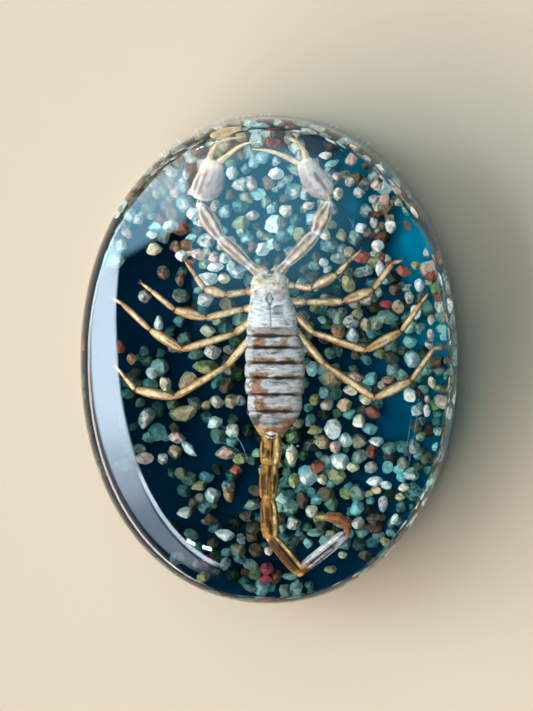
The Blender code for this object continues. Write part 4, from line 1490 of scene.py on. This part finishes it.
def edge(world, value, start, full):
    """0 before the start, 1 past the full, and a smooth rise between; it also runs downwards."""
    spread = {"Value": value, "From Min": start, "From Max": full}
    return node(world, "ShaderNodeMapRange", spread, interpolation_type="SMOOTHSTEP").outputs[0]


def room():
    """Soft light round the block: a high window on the left, pale sky behind the head, dark on the right."""
    world = bpy.data.worlds.new("soft_room")
    bpy.context.scene.world = world
    world.use_nodes = True
    place = node(world, "ShaderNodeTexCoord").outputs["Generated"]
    x, y, z = node(world, "ShaderNodeSeparateXYZ", {"Vector": place}).outputs
    ways = {
        "x": x,
        "y": y,
        "z": z,
        "turn": maths(world, "ARCTAN2", y, maths(world, "MULTIPLY", x, -1.0)),
        "slope": maths(world, "SUBTRACT", y, maths(world, "MULTIPLY", x, SLOPE_LEAN)),
        "lift": maths(world, "SUBTRACT", z, maths(world, "MULTIPLY", x, LIFT_LEAN)),
    }
    total = None
    for strength, colour, *edges in ROOM.values():
        share = strength
        for way, start, full in edges:
            share = maths(world, "MULTIPLY", edge(world, ways[way], start, full), share)
        lit = node(world, "ShaderNodeVectorMath", {0: colour, "Scale": share}, operation="SCALE").outputs[0]
        if total:
            lit = node(world, "ShaderNodeVectorMath", {0: total, 1: lit}, operation="ADD").outputs[0]
        total = lit
    world.node_tree.links.new(total, world.node_tree.nodes["Background"].inputs["Color"])


def studio():
    """Pale matt floor in the soft room."""
    bpy.ops.object.select_all(action="DESELECT")
    bpy.ops.mesh.primitive_plane_add(size=6)
    floor = named(bpy.context.object, "floor")
    looks = {"Base Color": (0.34, 0.26, 0.19, 1), "Roughness": 1.0, "Specular IOR Level": 0.0}
    floor.data.materials.append(material("pale_floor", looks))
    room()


def camera():
    """The photograph's camera: nearly overhead, a little to the right and to the head's end."""
    eye = bpy.data.objects.new("camera", bpy.data.cameras.new("camera"))
    bpy.context.collection.objects.link(eye)
    place = Vector(CAMERA_PLACE) * MM
    ahead = (Vector(CAMERA_AIM) * MM - place).normalized()
    right = ahead.cross(Vector((0, 1, 0))).normalized()
    turn = Matrix((right, right.cross(ahead), -ahead)).transposed()
    eye.matrix_world = Matrix.Translation(place) @ turn.to_4x4()
    eye.data.lens = CAMERA_LENS
    eye.data.clip_start = 5 * MM
    bpy.context.scene.camera = eye


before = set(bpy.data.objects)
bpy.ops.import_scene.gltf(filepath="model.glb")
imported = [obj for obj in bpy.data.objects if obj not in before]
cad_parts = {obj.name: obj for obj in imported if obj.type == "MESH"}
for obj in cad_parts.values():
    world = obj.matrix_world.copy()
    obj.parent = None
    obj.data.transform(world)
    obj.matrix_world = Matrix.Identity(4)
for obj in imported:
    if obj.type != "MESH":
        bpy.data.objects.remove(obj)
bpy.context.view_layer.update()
BLOCK_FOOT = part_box("tinted_base")[0].z
BLUE_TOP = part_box("tinted_base")[1].z
FOOT_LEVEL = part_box("felt_pad")[1].z
FOOT_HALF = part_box("felt_pad")[1] + Vector((0.5, 0.5, 0)) * MM  # the felt lies half a millimetre inside

camera()
studio()
bpy.context.scene.view_settings.view_transform = "Standard"
clear_block()
blue_layer()
dense_layer()
gravel()
scorpion_body()
scorpion_legs()
scorpion_pincers()
scorpion_tail()
felt_pad()
lint()
bubbles()
fibres()
